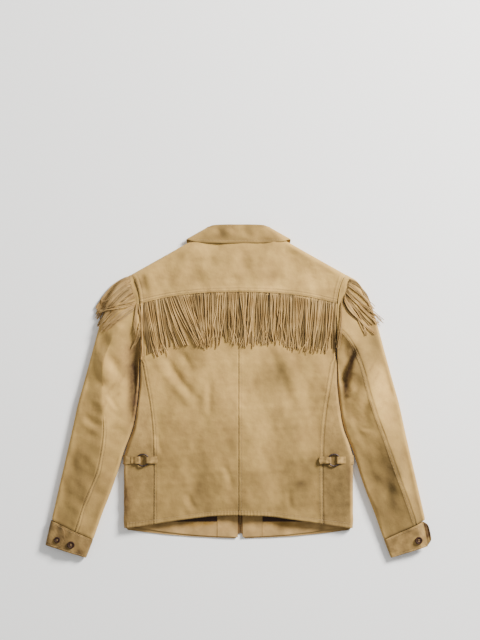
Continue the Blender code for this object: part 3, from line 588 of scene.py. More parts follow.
# Suede: mottled between two tans, darker and browner where the attributes say, with a fine nap
def suedeMaterial(name, look):
    graph = Graph(name)
    where, grain = graph.place(), look["grain"]
    light, dark, stain = [paint(*look[tan]) for tan in ("light", "dark", "stain")]
    broad = graph.noise(where, look["mottle"], 3.0, 0.5, 0.5).between(0.25, 0.75)
    cloudy = graph.noise(where, look["mottle"] * 0.35, 3.0, 0.6).between(0.3, 0.75)
    colour = graph.mix(broad * 0.6 + cloudy * 0.4, dark, light)
    tone, brown = graph.value("tone"), graph.value("brown")
    blotch = graph.noise(where, 0.012, 5.0, 0.65).between(0.25, 0.75)
    colour = graph.mix(brown * (0.55 + 0.6 * blotch), colour, stain)
    speck = graph.noise(where, 0.0016, 2.0, 0.6)
    fibre = graph.noise(where, 0.0006, 2.0, 0.7)
    specks = (speck - 0.5) * (0.16 * grain) + (fibre - 0.5) * 0.10
    colour = graph.shade(colour, 1.0 + 2.2 * tone + specks)
    nap = graph.bump(speck * 0.6 + fibre * 0.4, 0.0005 * grain, 0.5)
    pebble = graph.bump(graph.noise(where, 0.006, 4.0, 0.6), 0.0012 * grain, 0.35, nap)
    constants = {"Sheen Weight": suedeLook["sheen"], "Sheen Roughness": 0.6, "Specular IOR Level": 0.15}
    return graph.finish(colour, suedeLook["roughness"], pebble, **constants)


# Plain cloth or thread with a fine grain
def clothMaterial(name, colour, grainSize, roughness, depth):
    graph = Graph(name)
    grain = graph.noise(graph.place(), grainSize, 3.0, 0.6)
    shaded = graph.shade(paint(*colour)[:3], 0.85 + 0.3 * grain)
    return graph.finish(shaded, roughness, graph.bump(grain, depth, 0.6),
                        **{"Specular IOR Level": 0.2})


# Old metal: darker and duller in its blotches
def metalMaterial(name, bright, dull, roughness=0.42):
    graph = Graph(name)
    rust = graph.noise(graph.place(), 0.003, 5.0, 0.65).between(0.35, 0.65)
    colour = graph.mix(rust, paint(*bright), paint(*dull))
    return graph.finish(colour, roughness + 0.3 * rust, graph.bump(rust, 0.0002, 0.4),
                        **{"Metallic": 1.0})


suede = suedeMaterial("suede", suedeLook)
suedeWorn = suedeMaterial("suedeWorn", wornLook)
facingSuede = suedeMaterial("facingSuede", facingLook)
liningCloth = clothMaterial("liningCloth", (58, 40, 30), 0.0007, 0.75, 0.0002)
threadMaterial = clothMaterial("thread", (176, 146, 100), 0.0005, 0.85, 0.0001)
tapeCloth = clothMaterial("zipTape", (96, 70, 40), 0.0007, 0.9, 0.0003)
shadowBrown = clothMaterial("shadowBrown", (24, 15, 10), 0.001, 0.9, 0.0001)
brass = metalMaterial("brass", (150, 118, 66), (84, 62, 34))
iron = metalMaterial("iron", (96, 84, 80), (52, 42, 38))
print("materials made")

# Creases and swells of the back: start, end, bow, width, depth, ridge share and side
backCreases = [
    (-160, 66, -96, -16, 4, 9, 2.6, 0.8), (-128, 84, -104, 40, -3, 8, 1.2, 0.5),
    (64, 98, 118, -50, -6, 13, 2.4, -0.6), (-62, 22, -64, -56, 2, 7, 1.1, 0.6),
    (-184, -98, -172, -138, 2, 6, 1.3, 0.6), (-114, -232, -94, -268, 3, 7, 1.8, 0.7),
    (-30, -168, -14, -222, -2, 7, 1.4, 0.6), (113, -222, 120, -268, 2, 7, 1.5, -0.6),
    (-92, -100, -84, -268, 6, 30, 3.2, 0.3), (150, 60, 160, -250, -8, 34, 3.0, -0.2),
    (28, -190, 44, -262, 3, 10, 1.2, 0.5), (-40, 60, -150, 20, 5, 12, 1.0, 0.4),
    (176, 60, 150, -20, 3, 10, 1.4, 0.5),
]
yokeCreases = [
    (-216, 262, -206, 222, 2, 7, 2.4, 0.7), (-105, 288, -82, 236, 4, 14, 1.6, 0.4),
    (14, 316, 22, 262, 3, 15, 1.5, 0.5), (70, 288, 86, 240, -3, 14, 1.4, 0.4),
    (-140, 300, -44, 292, -3, 12, 1.2, 0.5), (150, 276, 190, 240, 4, 16, 1.2, 0.4),
    (-20, 252, 60, 250, 2, 10, 0.8, 0.4),
]
backSwells = [
    (30, -40, 80, 170, 0, 2.4), (-140, -190, 34, 60, 10, 1.2), (214, -80, 22, 120, 0, 1.6),
    (0, 290, 120, 30, 0, 1.0),
]


# How far the laid back stands off its smooth form, the same for every panel on it
def backRelief(x, y):
    edge = ramp(0, 30, bodyHalf(y) - foldRadius(y) - np.abs(x) + 22)
    creases = 1.5 * (creaseRelief(x, y, backCreases) + creaseRelief(x, y, yokeCreases))
    swell = patches(x, y, backSwells)
    broad = 1.7 * drift(x, y, 4, 110) + 0.5 * drift(x, y, 9, 46)
    fine = 0.10 * drift(x, y, 12, 17) + 0.05 * drift(x, y, 15, 8)
    return (creases + swell + broad) * edge + fine


# The cloth turning down at a cut edge or a seam
def seamRoll(distance, depth=0.8, width=1.7):
    return -depth * bell(distance, width)


# The doubled cloth beside a topstitched seam, and the stitches' own shallow ditches
def seamBand(distance, width, height, lines=body["seamStitches"], ditch=0.4):
    band = height * ramp(0.2, 2.0, distance) * (1 - ramp(width - 1.5, width + 1.5, distance))
    for line in lines:
        band = band - ditch * bell(distance - line, 0.9)
    return band


# Colour of a topstitched seam: painted shade along each row of stitches and a little at the seam, paler
# between the rows
def seamTone(distance, lines=body["seamStitches"], dark=0.17, pale=0.09):
    tone = pale * bell(distance - sum(lines) / len(lines), 2.0) - 0.04 * bell(distance, 1.4)
    for line in lines:
        tone = tone - dark * bell(distance - line, 1.15)
    return tone


# Short ripples drawn up by the stitching along an edge
def puckers(along, distance, reach, size, height, seed):
    random = np.random.default_rng(seed)
    uneven = along + 2.5 * np.sin(along / 37.0 + random.uniform(0, 6)) + 1.5 * np.sin(along / 13.7)
    wave = np.sin(2 * math.pi * uneven / size) + 0.5 * np.sin(2 * math.pi * uneven / (0.61 * size) + 1)
    strength = 0.55 + 0.45 * np.sin(along / 51.0 + random.uniform(0, 6))
    return height * wave * strength * bell(distance, reach)


# A stitched hem's doubled band and puckers
def hemRelief(x, away, height):
    band = seamBand(away, 11.0, height, (body["hemStitch"],))
    return band + puckers(x, away - 5, 7, body["hemPucker"], 0.34, 3)


# Colour of a stitched hem: pale on the band, painted shade at the stitches, and painted light and shade
# following the puckers
def hemTone(x, away, pale, dark):
    tone = pale * bell(away - 5, 3) - dark * bell(away - body["hemStitch"], 1.2)
    return tone - 0.09 * puckers(x, away - 5, 6, body["hemPucker"], 1.0, 3)


# The side-back seam from the hem to the underarm
def sideBackSeamX(y):
    return through(body["sideBackSeam"], y)


# Darker and lighter parts of the back, by place; the band under the fringe and the dark patch beside the
# left armhole seam are painted shade
backTones = [
    (-20, 300, 60, 26, 0, -0.06), (20, 288, 20, 24, 20, -0.12), (78, 262, 20, 20, 10, -0.12),
    (-96, 258, 20, 22, -15, -0.13), (-92, 296, 52, 9, -6, -0.09), (-214, 240, 12, 24, 20, -0.22),
    (150, 250, 50, 30, 0, 0.05), (0, 232, 120, 5, 0, 0.05), (-160, 290, 30, 20, 0, 0.03),
    (0, 40, 60, 60, 0, 0.03), (-130, 20, 24, 50, 35, -0.05), (100, 20, 16, 60, 12, -0.04),
    (30, -120, 60, 90, 0, 0.04), (-88, -190, 30, 80, 0, -0.06), (150, -200, 50, 70, 0, -0.05),
    (218, -60, 20, 60, 0, 0.07), (-205, -60, 20, 60, 0, 0.02), (0, 150, 190, 34, 0, -0.10),
    (-60, -270, 50, 16, 0, -0.05), (60, -262, 60, 14, 0, -0.06), (-180, -270, 40, 24, 0, -0.03),
    (139, -209, 16, 12, 0, -0.10), (-176, 60, 30, 16, 0, -0.06), (84, 36, 56, 44, 0, -0.20),
    (118, -66, 40, 50, 0, -0.08), (228, -230, 26, 70, 0, -0.09),
]
# Browner patches of the back: stains, and painted shade under the fringe, on the lower side folds, on the
# body's edges beside the sleeves and beside the left armhole seam
backStainsAndShade = [
    (139, -209, 10, 8, 0, 0.28), (-96, 256, 15, 15, 0, 0.16), (18, 292, 16, 20, 0, 0.14),
    (76, 260, 14, 16, 0, 0.12), (-218, 238, 8, 20, 20, 0.22), (-225, 40, 12, 60, 0, 0.20),
    (226, 30, 9, 60, 0, 0.25), (-251, -235, 10, 50, 0, 0.75), (252, -190, 8, 30, 0, 0.45),
    (-150, 82, 70, 10, 0, 0.10), (60, 90, 120, 10, 0, 0.10), (-88, -268, 30, 9, 0, 0.10),
    (90, -272, 30, 9, 0, 0.10), (-20, -230, 12, 30, 0, 0.06), (0, 160, 205, 26, 0, 0.45),
]


# Tone of the back: painted shade, darker towards the hem and on the right, with its patches
def backTone(x, y):
    lower = -0.135 * (1 - ramp(-190, 30, y)) - 0.04 * ramp(0, 160, x)
    return lower + patches(x, y, backTones) + 0.022 * drift(x, y, 31, 70) + 0.012 * drift(x, y, 33, 24)


# Brown of the back: faint clouds, and by place its stains and painted shade
def backStainAndShade(x, y):
    return np.clip(0.05 * np.clip(drift(x, y, 41, 60), 0, 2) + patches(x, y, backStainsAndShade), 0, 1)


# A closed panel: its smooth points moved out by a relief, with tone and browning by place; the browning
# holds stains and, on some panels, painted shade
def makePanel(name, smooth, sign, relief, tone, stain, materials, keep=None, wall=body["wall"],
              node=None):
    points = smooth + gridNormals(smooth) * sign * relief[..., None]
    values = {"tone": tone, "brown": np.clip(stain, 0, 1)}
    item = clothShell(name, points, sign, wall, keep, values, materials)
    declareSheet(item, smooth, keep)
    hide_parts(node or nodeOf(name))
    return item


# Shares of the yoke's half width, with one at the side of the neck
def halfShares(step):
    neck = body["neckHalf"] / body["shoulderHalf"]
    inner = np.linspace(0, neck, int(round(body["neckHalf"] / step)) + 1)
    outerLength = body["shoulderHalf"] - body["neckHalf"]
    outer = neck + (1 - neck) * spaced(outerLength, step, low=False)
    return np.concatenate([inner[:-1], outer])


# The back's grid, length and step, how far it runs on under the sleeve and how it dips there
back = {"across": (200, 2.7), "up": (500, 2.9), "tuck": 3.4, "tuckDrop": 0.35}


# Half of the back, from the centre seam to the side-back seam and the armhole
def makeBack(side):
    share, rise = spaced(*back["across"])[None, :], spaced(*back["up"])[:, None]
    low = through(body["hemBack"], share * body["sideBackX"])
    high = through(body["yokeSeam"], share * body["yokeHalf"])
    y = low + (high - low) * rise
    armhole = armholeX(np.minimum(y, body["yokeArmholeY"]))
    seam = np.where(y > body["underarmY"], armhole, sideBackSeamX(y))
    tuck = back["tuck"] * ramp(-12, -3, y - body["underarmY"])
    x = (seam + tuck) * share
    around = np.minimum(x, seam) / (bodyHalf(y) - foldRadius(y))
    beyond = np.maximum(x - seam, 0)
    smooth = mirrored(bodySurface(around, y), side)
    smooth = smooth + np.stack([side * beyond, 0 * beyond, -back["tuckDrop"] * beyond], axis=-1)
    sideAway, centreAway = seam + tuck - x, x
    hemAway, topAway = y - low, high - y
    x = side * x
    relief = backRelief(x, y) + seamRoll(centreAway, 0.6) + seamRoll(topAway)
    relief = relief + seamRoll(sideAway) - 1.6 * bell(sideAway, 3.0) * ramp(0, 12, y - body["underarmY"])
    relief = relief + seamBand(sideAway, 10.0, 0.6) - 0.8 * bell(hemAway, 1.2)
    relief = relief + hemRelief(x, hemAway, 0.7) + puckers(y, sideAway - 5, 8, 23, 0.2, 8 + side)
    tone = backTone(x, y) + seamTone(sideAway) - 0.05 * bell(centreAway, 1.4)
    tone = tone + hemTone(x, hemAway, 0.05, 0.07) - 0.08 * bell(hemAway, 1.5)
    if side > 0:
        relief = relief + seamBand(centreAway, 8.0, 0.55, (2.0, 6.2))
        relief = relief + puckers(y, centreAway - 4, 7, 19, 0.22, 6)
        tone = tone + seamTone(centreAway, body["centreStitches"], 0.12, 0.08)
    return makePanel(f"back{sideName(side)}", smooth, float(-side), relief, tone, backStainAndShade(x, y),
                     [suede, facingSuede])


# The side panel's grid on the back, length and step, and its columns round the fold
sidePanel = {"across": (60, 2.7), "up": (382, 3.0), "round": 19, "roundShort": 1.075}


# The side panel, from the side-back seam round the side fold to the side seam
def makeSide(side):
    turn = np.linspace(0, body["sideSeamTurn"] - sidePanel["roundShort"], sidePanel["round"])[1:]
    column = np.concatenate([spaced(*sidePanel["across"], high=False), 1 + turn])[None, :]
    rise = spaced(*sidePanel["up"])[:, None]
    hemX = body["sideBackX"] + (body["hemHalfWidth"] - body["sideBackX"]) * column
    low = np.where(column < 1, through(body["hemBack"], hemX), body["sideHemY"]) - 0.4 * column
    y = low + (body["underarmY"] - 1.0 - low) * rise
    flat = bodyHalf(y) - foldRadius(y)
    seam = sideBackSeamX(y) / flat
    around = np.where(column < 1, seam + (1 - seam) * column, column)
    smooth = mirrored(bodySurface(around, y), side)
    x = smooth[..., 0]
    onTop = 1 - ramp(1.0, 1.25, around)
    seamAway = np.where(column < 1, (around - seam) * flat, 99.0)
    hemAway = y - low
    relief = (backRelief(x, y) + seamRoll(seamAway) + hemRelief(x, hemAway, 0.6)) * onTop
    relief = relief + 0.3 * drift(y, around * 40, 51, 40) * (1 - onTop) * (1 - ramp(1.4, 1.7, around))
    tone = (backTone(x, y) + hemTone(x, hemAway, 0.06, 0.10)) * onTop
    tone = tone - 0.10 * bell(seamAway, 2.0) - 0.08 * bell(hemAway, 1.5)
    # Browner where the side fold turns down: painted shade
    stain = backStainAndShade(x, y) + 0.10 * ramp(1.2, 1.7, around)
    return makePanel(f"side{sideName(side)}", smooth, float(-side), relief, tone, stain,
                     [suedeWorn, liningCloth])


# Shallow folds of the fronts, which can only stand off the table
frontCreases = [
    (-170, 60, -110, -30, 5, 14, 1.6, 0.5), (150, 40, 120, -60, -4, 14, 1.5, 0.5),
    (-60, -150, -90, -240, 4, 12, 1.2, 0.5), (80, -120, 110, -220, 3, 12, 1.2, 0.5),
    (-190, -120, -160, -200, 3, 12, 1.0, 0.5), (200, -110, 170, -190, -3, 12, 1.0, 0.5),
]


# How far the laid fronts stand off the table, the same for what lies on them
def frontRelief(x, y):
    swell = 0.4 + creaseRelief(x, y, frontCreases) + 0.3 * drift(x, y, 61, 70)
    return -np.clip(swell, 0, 1.3) * ramp(0, 40, bodyHalf(np.minimum(y, 70)) - np.abs(x))


# Points of a body panel on one side, the closure shifted the same way on both
def sidePoints(around, y, side):
    points = bodySurface(around + 0 * y, y + 0 * around)
    shift = closureX(points[..., 1]) * np.clip(around - 2, 0, 1)
    if side < 0:
        points = mirrored(points, side)
        points[..., 0] = points[..., 0] + 2 * shift
    return points


# The front's grid, the widths its corner and first guess of the top edge go by, and its tuck
front = {
    "width": 240.0,
    "columnStep": 4.2,
    "up": (580, 4.4),
    "hemWidth": 250.0,
    "topWidth": 215.0,
    "corner": 8.0,
    "tuck": 3.0,
    "tuckRise": 0.6,
}


# A front, lying on the table, from the zip to the side seam and the armhole
def makeFront(side):
    zipHalf, corner, underarm = body["zipHalf"], front["corner"], body["underarmY"]
    share = spaced(front["width"], front["columnStep"])[None, :]
    rise = spaced(*front["up"])[:, None]
    xTop = zipHalf + share * front["topWidth"]
    for _ in range(3):
        xTop = zipHalf + share * (armholeX(frontTopY(xTop)) - zipHalf)
    low = through(body["hemFront"], share * body["hemHalfWidth"])
    inCorner = np.clip(corner - share * front["hemWidth"], 0, corner)
    low = low + corner - np.sqrt(corner**2 - inCorner**2)
    high = frontTopY(xTop) - body["seamGap"]
    y = low + (high - low) * rise
    outer = body["sideSeamTurn"] + (2 - body["sideSeamTurn"]) * ramp(20, underarm - 4, y)
    inner = 3 - zipHalf / (bodyHalf(y) - foldRadius(y))
    smooth = sidePoints(inner + (outer - inner) * share, y, side)
    beyond = front["tuck"] * ramp(0.985, 1.0, share) * ramp(underarm - 2, underarm + 10, y)
    smooth = smooth + np.stack([side * beyond, 0 * beyond, front["tuckRise"] * beyond], axis=-1)
    x = smooth[..., 0]
    hemAway, zipAway = y - low, share * front["width"]
    relief = frontRelief(x, y) - 0.5 * bell(hemAway, 1.5) - 0.5 * bell(zipAway, 1.5)
    tone = 0.03 * drift(x, y, 71, 80) - 0.08 * bell(hemAway, 1.5)
    return makePanel(f"front{sideName(side)}", smooth, float(side), relief, tone,
                     0.08 * drift(x, y, 72, 60), [suede, facingSuede])


# The yoke's grid and the distances of its rows of stitches from its seams
yoke = {
    "step": 2.6,
    "up": (130, 2.3),
    "foldRows": 14,
    "frontRows": 11,
    "stitches": (4.6, 9.8),
    "armholeStitches": (3.2, 8.8),
}


# The yoke: over the back, round the shoulder folds, and down to its front seam
def makeYoke():
    half = halfShares(yoke["step"])
    column = np.concatenate([-half[:0:-1], half])[None, :]
    rise = spaced(*yoke["up"], high=False)[:, None]
    fold, tip, base = body["shoulderFold"], body["shoulderTipY"], body["yokeArmholeY"]
    xTop = column * body["shoulderHalf"]
    low = through(body["yokeSeam"], np.abs(column) * body["yokeHalf"])
    y = low + (foldTopY(xTop) - low) * rise
    x = column * armholeX(np.minimum(y, base + (tip - fold - base) * rise))
    upper = np.stack([x, y, backHeight(x, y)], axis=-1)
    crest = foldTopY(np.where(np.abs(xTop) < body["neckHalf"], body["neckHalf"], xTop))
    turn = np.linspace(0, math.pi, yoke["foldRows"] + 1)[1:, None]
    past = fold * np.sin(turn)
    foldX = column * armholeX(tip - fold + past)
    highZ, lowZ = backHeight(x[-1:], crest), frontHeight(xTop, crest)
    bend = np.stack([foldX, crest + past, lowZ + (highZ - lowZ) * (1 + np.cos(turn)) / 2], axis=-1)
    below = fold + np.linspace(0, 1, yoke["frontRows"] + 1)[1:, None] * (body["frontYokeDrop"] - fold)
    underX = column * armholeX(tip - below)
    underY = shoulderY(underX) - below
    under = np.stack([underX, underY, frontHeight(underX, underY)], axis=-1)
    points = np.concatenate([upper, bend, under])
    middle = np.abs(column[0, 1:] + column[0, :-1]) / 2 < body["neckHalf"] / body["shoulderHalf"]
    keep = np.ones((points.shape[0] - 1, points.shape[1] - 1), bool)
    keep[len(upper) - 1:, middle] = False
    points[..., 0] = points[..., 0] * (1 - body["seamGap"] / body["shoulderHalf"])
    x, y = points[..., 0], points[..., 1]
    row = np.arange(len(points))[:, None]
    onTop = 1 - ramp(len(upper) - 8, len(upper) + 5, row + 0 * x)
    seamAway = np.where(row < len(upper), y - low, 99.0)
    armAway = (1 - np.abs(column)) * body["shoulderHalf"] + 0 * x
    relief = backRelief(x, y) + seamRoll(seamAway, 1.2) + seamBand(seamAway, 12, 0.7, yoke["stitches"])
    relief = relief + 0.5 * bell(armAway - 5, 3.5) + puckers(x, seamAway - 6, 7, 21, 0.22, 14)
    relief = relief * onTop + seamRoll(armAway)
    relief = relief - 0.35 * np.abs(drift(x, y, 81, 30)) * (1 - onTop) * ramp(2, 14, row - len(upper))
    tone = (backTone(x, y) + seamTone(armAway, yoke["armholeStitches"], 0.18, 0.12)) * onTop
    tone = tone + seamTone(seamAway, yoke["stitches"], 0.16, 0.09) + 0.08 * bell(seamAway - 1.2, 2)
    return makePanel("yokePanel", points, -1.0, relief, tone, backStainAndShade(x, y) * onTop,
                     [suede, facingSuede], keep, node="yoke")


# Creases of each sleeve, in place on the back of the sleeve
sleeveCreases = {
    -1: [
        (-346, -56, -306, -80, 3, 8, 1.5, 0.8), (-334, -86, -300, -116, -3, 12, 0.9, 0.6),
        (-292, -8, -276, -38, 1, 3.5, 0.9, 0.7), (-284, -12, -270, -40, 1, 3.5, 0.7, 0.7),
        (-290, -84, -256, -86, 1, 5, 0.5, 0.6), (-240, 118, -232, -84, -5, 15, 7.0, 0.5),
        (-300, 120, -268, 40, 4, 14, 2.4, 0.5), (-322, 60, -300, -20, -4, 12, 2.0, 0.5),
        (-362, -120, -372, -190, 4, 10, 1.6, 0.6), (-330, -170, -318, -240, 3, 12, 1.4, 0.5),
        (-384, -220, -392, -280, 3, 10, 1.2, 0.5), (-350, -250, -340, -300, 2, 9, 1.2, 0.5),
        (-280, 60, -250, 20, 3, 9, 1.6, 0.5),
    ],
    1: [
        (259, 92, 237, 10, 5, 8, 6.0, -0.7), (246, 108, 240, 66, 2, 7, 2.0, 0.5),
        (262, 40, 246, 20, 2, 6, 1.6, 0.6), (243, -11, 263, 7, 2, 5, -2.0, 0.4),
        (254, 96, 286, 30, -3, 9, 2.0, 0.5), (300, 20, 282, -60, 3, 12, 2.0, 0.5),
        (276, -82, 300, -86, 1, 4, 0.8, 0.6), (330, 60, 344, -10, -3, 11, 1.6, 0.5),
        (306, -80, 352, -230, 3, 20, 1.1, 0.4), (372, -130, 388, -210, -3, 10, 1.4, 0.5),
        (336, -210, 352, -290, 3, 12, 1.6, 0.5), (290, -150, 310, -210, 3, 10, 1.4, 0.5),
        (262, -60, 280, -110, 3, 9, 1.6, 0.5),
    ],
}
# Darker and lighter parts of each sleeve, by place; painted shade in the left underarm valley, and in the
# right sleeve's inner valley beside the body and over its upper part
sleeveTones = {
    -1: [
        (-234, 8, 16, 92, 0, -0.30), (-330, 60, 30, 60, 0, -0.06), (-290, 0, 20, 80, 0, 0.08),
        (-350, -200, 24, 70, 15, -0.05), (-300, -140, 20, 40, 0, 0.03),
        (-262, 110, 30, 24, 0, -0.08),
    ],
    1: [
        (258, 84, 8, 12, 0, -0.12), (252, 62, 8, 20, 0, -0.16), (240, 22, 7, 26, 0, -0.16),
        (312, 112, 42, 56, 0, -0.24), (268, 40, 22, 56, 0, -0.16), (300, 60, 24, 60, -20, -0.04),
        (340, 20, 30, 90, -15, 0.08), (352, -210, 14, 80, -15, -0.05),
        (384, -180, 18, 90, -18, 0.05), (286, -20, 20, 30, 0, 0.05),
    ],
}
# Browner patches of each sleeve: stains, with painted shade and some stain in the left underarm valley,
# and painted shade in the right sleeve's inner valley
sleeveStainsAndShade = {
    -1: [
        (-234, 12, 15, 88, 0, 1.0), (-246, 96, 20, 20, 0, 0.35), (-232, -60, 8, 30, 0, 0.35),
        (-256, 70, 16, 40, 20, 0.25), (-283, 10, 15, 3, 55, 0.45), (-262, 28, 17, 3, 60, 0.4),
        (-272, -8, 11, 3, 40, 0.35), (-300, -30, 12, 3, 65, 0.3),
    ],
    1: [
        (257, 86, 7, 11, 0, 0.55), (253, 70, 7, 14, 0, 0.8), (247, 47, 7, 17, 0, 0.9),
        (239, 18, 6, 22, 0, 0.9), (258, 96, 22, 16, 0, 0.35), (244, 0, 8, 30, 0, 0.45),
        (262, 60, 14, 40, -14, 0.22), (298, 52, 15, 3, 60, 0.4), (311, 34, 11, 3, 60, 0.35),
        (352, -250, 10, 3, -60, 0.3),
    ],
}


# How far a laid sleeve stands off its smooth form
def sleeveRelief(x, y, onTop, side):
    broad = 0.8 * drift(x, y, 20 + side, 90) + 0.5 * drift(x, y, 24 + side, 38)
    fine = 0.10 * drift(x, y, 27 + side, 15) + 0.05 * drift(x, y, 29 + side, 7)
    return (1.4 * creaseRelief(x, y, sleeveCreases[side]) + broad + fine) * onTop


# Rings of the top and under sleeve: each turns round one fold and meets the other at two seams
sleeveRings = {
    "Top": [spaced(50, 2.5, high=False), np.linspace(1, 2, 11)[1:-1], np.linspace(2, 2.591, 12)],
    "Under": [np.linspace(2.6, 3, 9)[:-1], np.linspace(3, 4, 13)[:-1], 4 + spaced(60, 2.5, low=False)],
}


# One part of a sleeve, from the armhole to the cuff
def makeSleeve(side, part, ring):
    length = sleeve["cuffStation"] * sleeve["stationLength"]
    station = sleeve["cuffStation"] * spaced(length, 2.9)[:, None]
    smooth = sleeveSurface(station + 0 * ring, ring + 0 * station, side)
    x, y = smooth[..., 0], smooth[..., 1]
    row = sleeveRow(station, side)
    ridge = row["ridge"] * row["length"]
    top = part == "Top"
    if top:
        onTop = 1 - ramp(0.85, 1.2, ring)
        seamAway = np.where(ring < 1, ring * (ridge - row["outerFold"]), 99.0)
    else:
        onTop = ramp(3.75, 4.15, ring)
        seamAway = np.where(ring > 4, (5 - ring) * (row["length"] - row["innerFold"] - ridge), 99.0)
    onTop = onTop * ramp(0.0, 0.35, station)
    seamAway = seamAway + 0 * x
    endAway = station * sleeve["stationLength"] + 0 * x
    cuffAway = (sleeve["cuffStation"] - station) * sleeve["stationLength"] + 0 * x
    shown = 1 - ramp(-84, -44, y) if side < 0 else 1 + 0 * y
    relief = sleeveRelief(x, y, onTop, side) + seamRoll(seamAway, 0.8) * shown + seamRoll(cuffAway)
    relief = relief + puckers(y, seamAway - 4, 8, 21, 0.2, 40 + side) * onTop * shown
    relief = relief + puckers(x, cuffAway - 3, 12, 15, 0.35, 44 + side) * onTop
    if not top:
        relief = relief + seamBand(seamAway, 9.0, 0.5) * ramp(0.5, 2.5, station) * shown
    seam = -0.05 * bell(seamAway, 1.4) if top else seamTone(seamAway, dark=0.16)
    # Painted shade, darker towards the cuff; the tone and browning patches also paint shade in the
    # sleeves' valleys
    lower = sleeve["cuffwardShade"][side] * (1 - ramp(-190, 10, y))
    tone = lower + patches(x, y, sleeveTones[side]) + 0.025 * drift(x, y, 91 + side, 60)
    tone = (tone + seam * shown) * onTop - 0.08 * bell(cuffAway, 1.6) - 0.04 * bell(endAway, 8)
    stain = patches(x, y, sleeveStainsAndShade[side]) + 0.06 * np.clip(drift(x, y, 95 + side, 50), 0, 2)
    return makePanel(f"sleeve{part}{sideName(side)}", smooth, float(side), relief, tone, stain,
                     [suede, suedeWorn])


# Each cuff's rings from its start round to its rounded end, and where the end laps over
cuff = {
    "height": 52,
    "middle": 0.52,
    "lapGap": 0.9,
    -1: {
        "stops": [0.88, 0, -1, -2, -3, -4, -4.7],
        "counts": [16, 18, 10, 28, 10, 20],
        "endLength": 0.45,
        "lap": (3.05, 3.95),
        "lapRise": 1.0,
        "tone": -0.15,
        "stain": 0.34,
        "endStain": 0.0,
    },
    1: {
        "stops": [0.9, 0, -1, -2, -3, -3.42],
        "counts": [16, 26, 10, 34, 16],
        "endLength": 0.6,
        "lap": (3.12, 3.42),
        "lapRise": 2.2,
        "tone": -0.10,
        "stain": 0.16,
        "endStain": 1.4,
    },
}


# A band round the wrist whose rounded end laps over its start
def makeCuff(side):
    shape = cuff[side]
    stops, end = shape["stops"], shape["stops"][-1]
    runs = [np.linspace(a, b, n + 1)[:-1] for a, b, n in zip(stops[:-1], stops[1:], shape["counts"])]
    ring = np.concatenate(runs + [[end]])[None, :]
    height = (0.02 + 0.98 * spaced(cuff["height"], 2.2))[:, None]
    fromEnd = np.clip((ring - end) / shape["endLength"], 0, 1)
    narrow = 0.30 + 0.70 * np.sqrt(np.clip(1 - (1 - fromEnd) ** 2, 0, 1))
    station = sleeve["cuffStation"] + cuff["middle"] + (height - cuff["middle"]) * narrow
    smooth = sleeveSurface(station, ring + 0 * station, side)
    lap = shape["lapRise"] * ramp(*shape["lap"], -ring)
    smooth = smooth - side * gridNormals(smooth) * ((body["wall"] + cuff["lapGap"]) * lap)[..., None]
    x, y = smooth[..., 0], smooth[..., 1]
    edgeAway = np.minimum(height, 1 - height) * cuff["height"] * narrow
    turned = np.mod(ring, 5)
    onTop = np.where(turned < 2.5, 1 - ramp(0.9, 1.3, turned), ramp(3.7, 4.1, turned)) + 0 * x
    relief = 0.4 * drift(x, y, 101 + side, 30) + 0.15 * drift(x, y, 103, 9)
    relief = (relief + puckers(x + y, edgeAway, 6, 13, 0.22, 105 + side)) * onTop
    relief = relief - 0.7 * bell(edgeAway, 1.5) - 0.3 * bell(edgeAway - 3.6, 0.9)
    tone = 0.04 * drift(x, y, 107 + side, 26) - 0.10 * bell(edgeAway, 1.5) + shape["tone"]
    # A painted highlight beside each edge and painted shade along the rows of stitches
    tone = tone + 0.10 * bell(edgeAway - 2.4, 1.0) - 0.10 * bell(edgeAway - 4.6, 0.9)
    stain = shape["stain"] + 0.14 * drift(x, y, 109 + side, 34)
    # Painted shadow of the slit's opening beside the lapped end
    stain = stain + shape["endStain"] * ramp(3.0, 3.12, -ring) * (1 - ramp(0.62, 0.8, height))
    return makePanel(f"cuff{sideName(side)}", smooth, float(-side), relief, tone, stain,
                     [suedeWorn, suedeWorn])


# across: 0 the neck seam, 1 and 2 the turn of the fold, 3 the fall's edge
def collarSurface(at, across):
    size = np.abs(at)
    value = {name: through(collar["rows"], size, k) for k, name in enumerate(collar["columns"])}
    neck = np.stack([value["neckX"], value["neckY"], value["neckZ"]], axis=-1)
    fold = np.stack([value["foldX"], value["foldY"], value["foldZ"]], axis=-1)
    edge = np.stack([value["edgeX"], value["edgeY"], value["edgeZ"]], axis=-1)
    facingUp = np.where(size < 0.5, 1.0, -1.0) * (1 - value["side"])
    out = np.stack([value["side"], 0 * size, facingUp], axis=-1)
    out = out / np.linalg.norm(out, axis=-1, keepdims=True)
    up = fold - neck
    up = up / np.linalg.norm(up, axis=-1, keepdims=True)
    radius = collar["foldRadius"]
    stand, arc, fall = [np.clip(across - k, 0, 1)[..., None] for k in range(3)]
    centre = fold + radius * out
    turned = centre + radius * (-np.cos(math.pi * arc) * out + np.sin(math.pi * arc) * up)
    points = np.where(across[..., None] < 1, neck + (fold - neck) * stand, turned)
    points = np.where(across[..., None] > 2, turned + (edge - turned) * fall, points)
    return points * np.stack([np.where(at < 0, -1.0, 1.0), 1 + 0 * at, 1 + 0 * at], axis=-1)


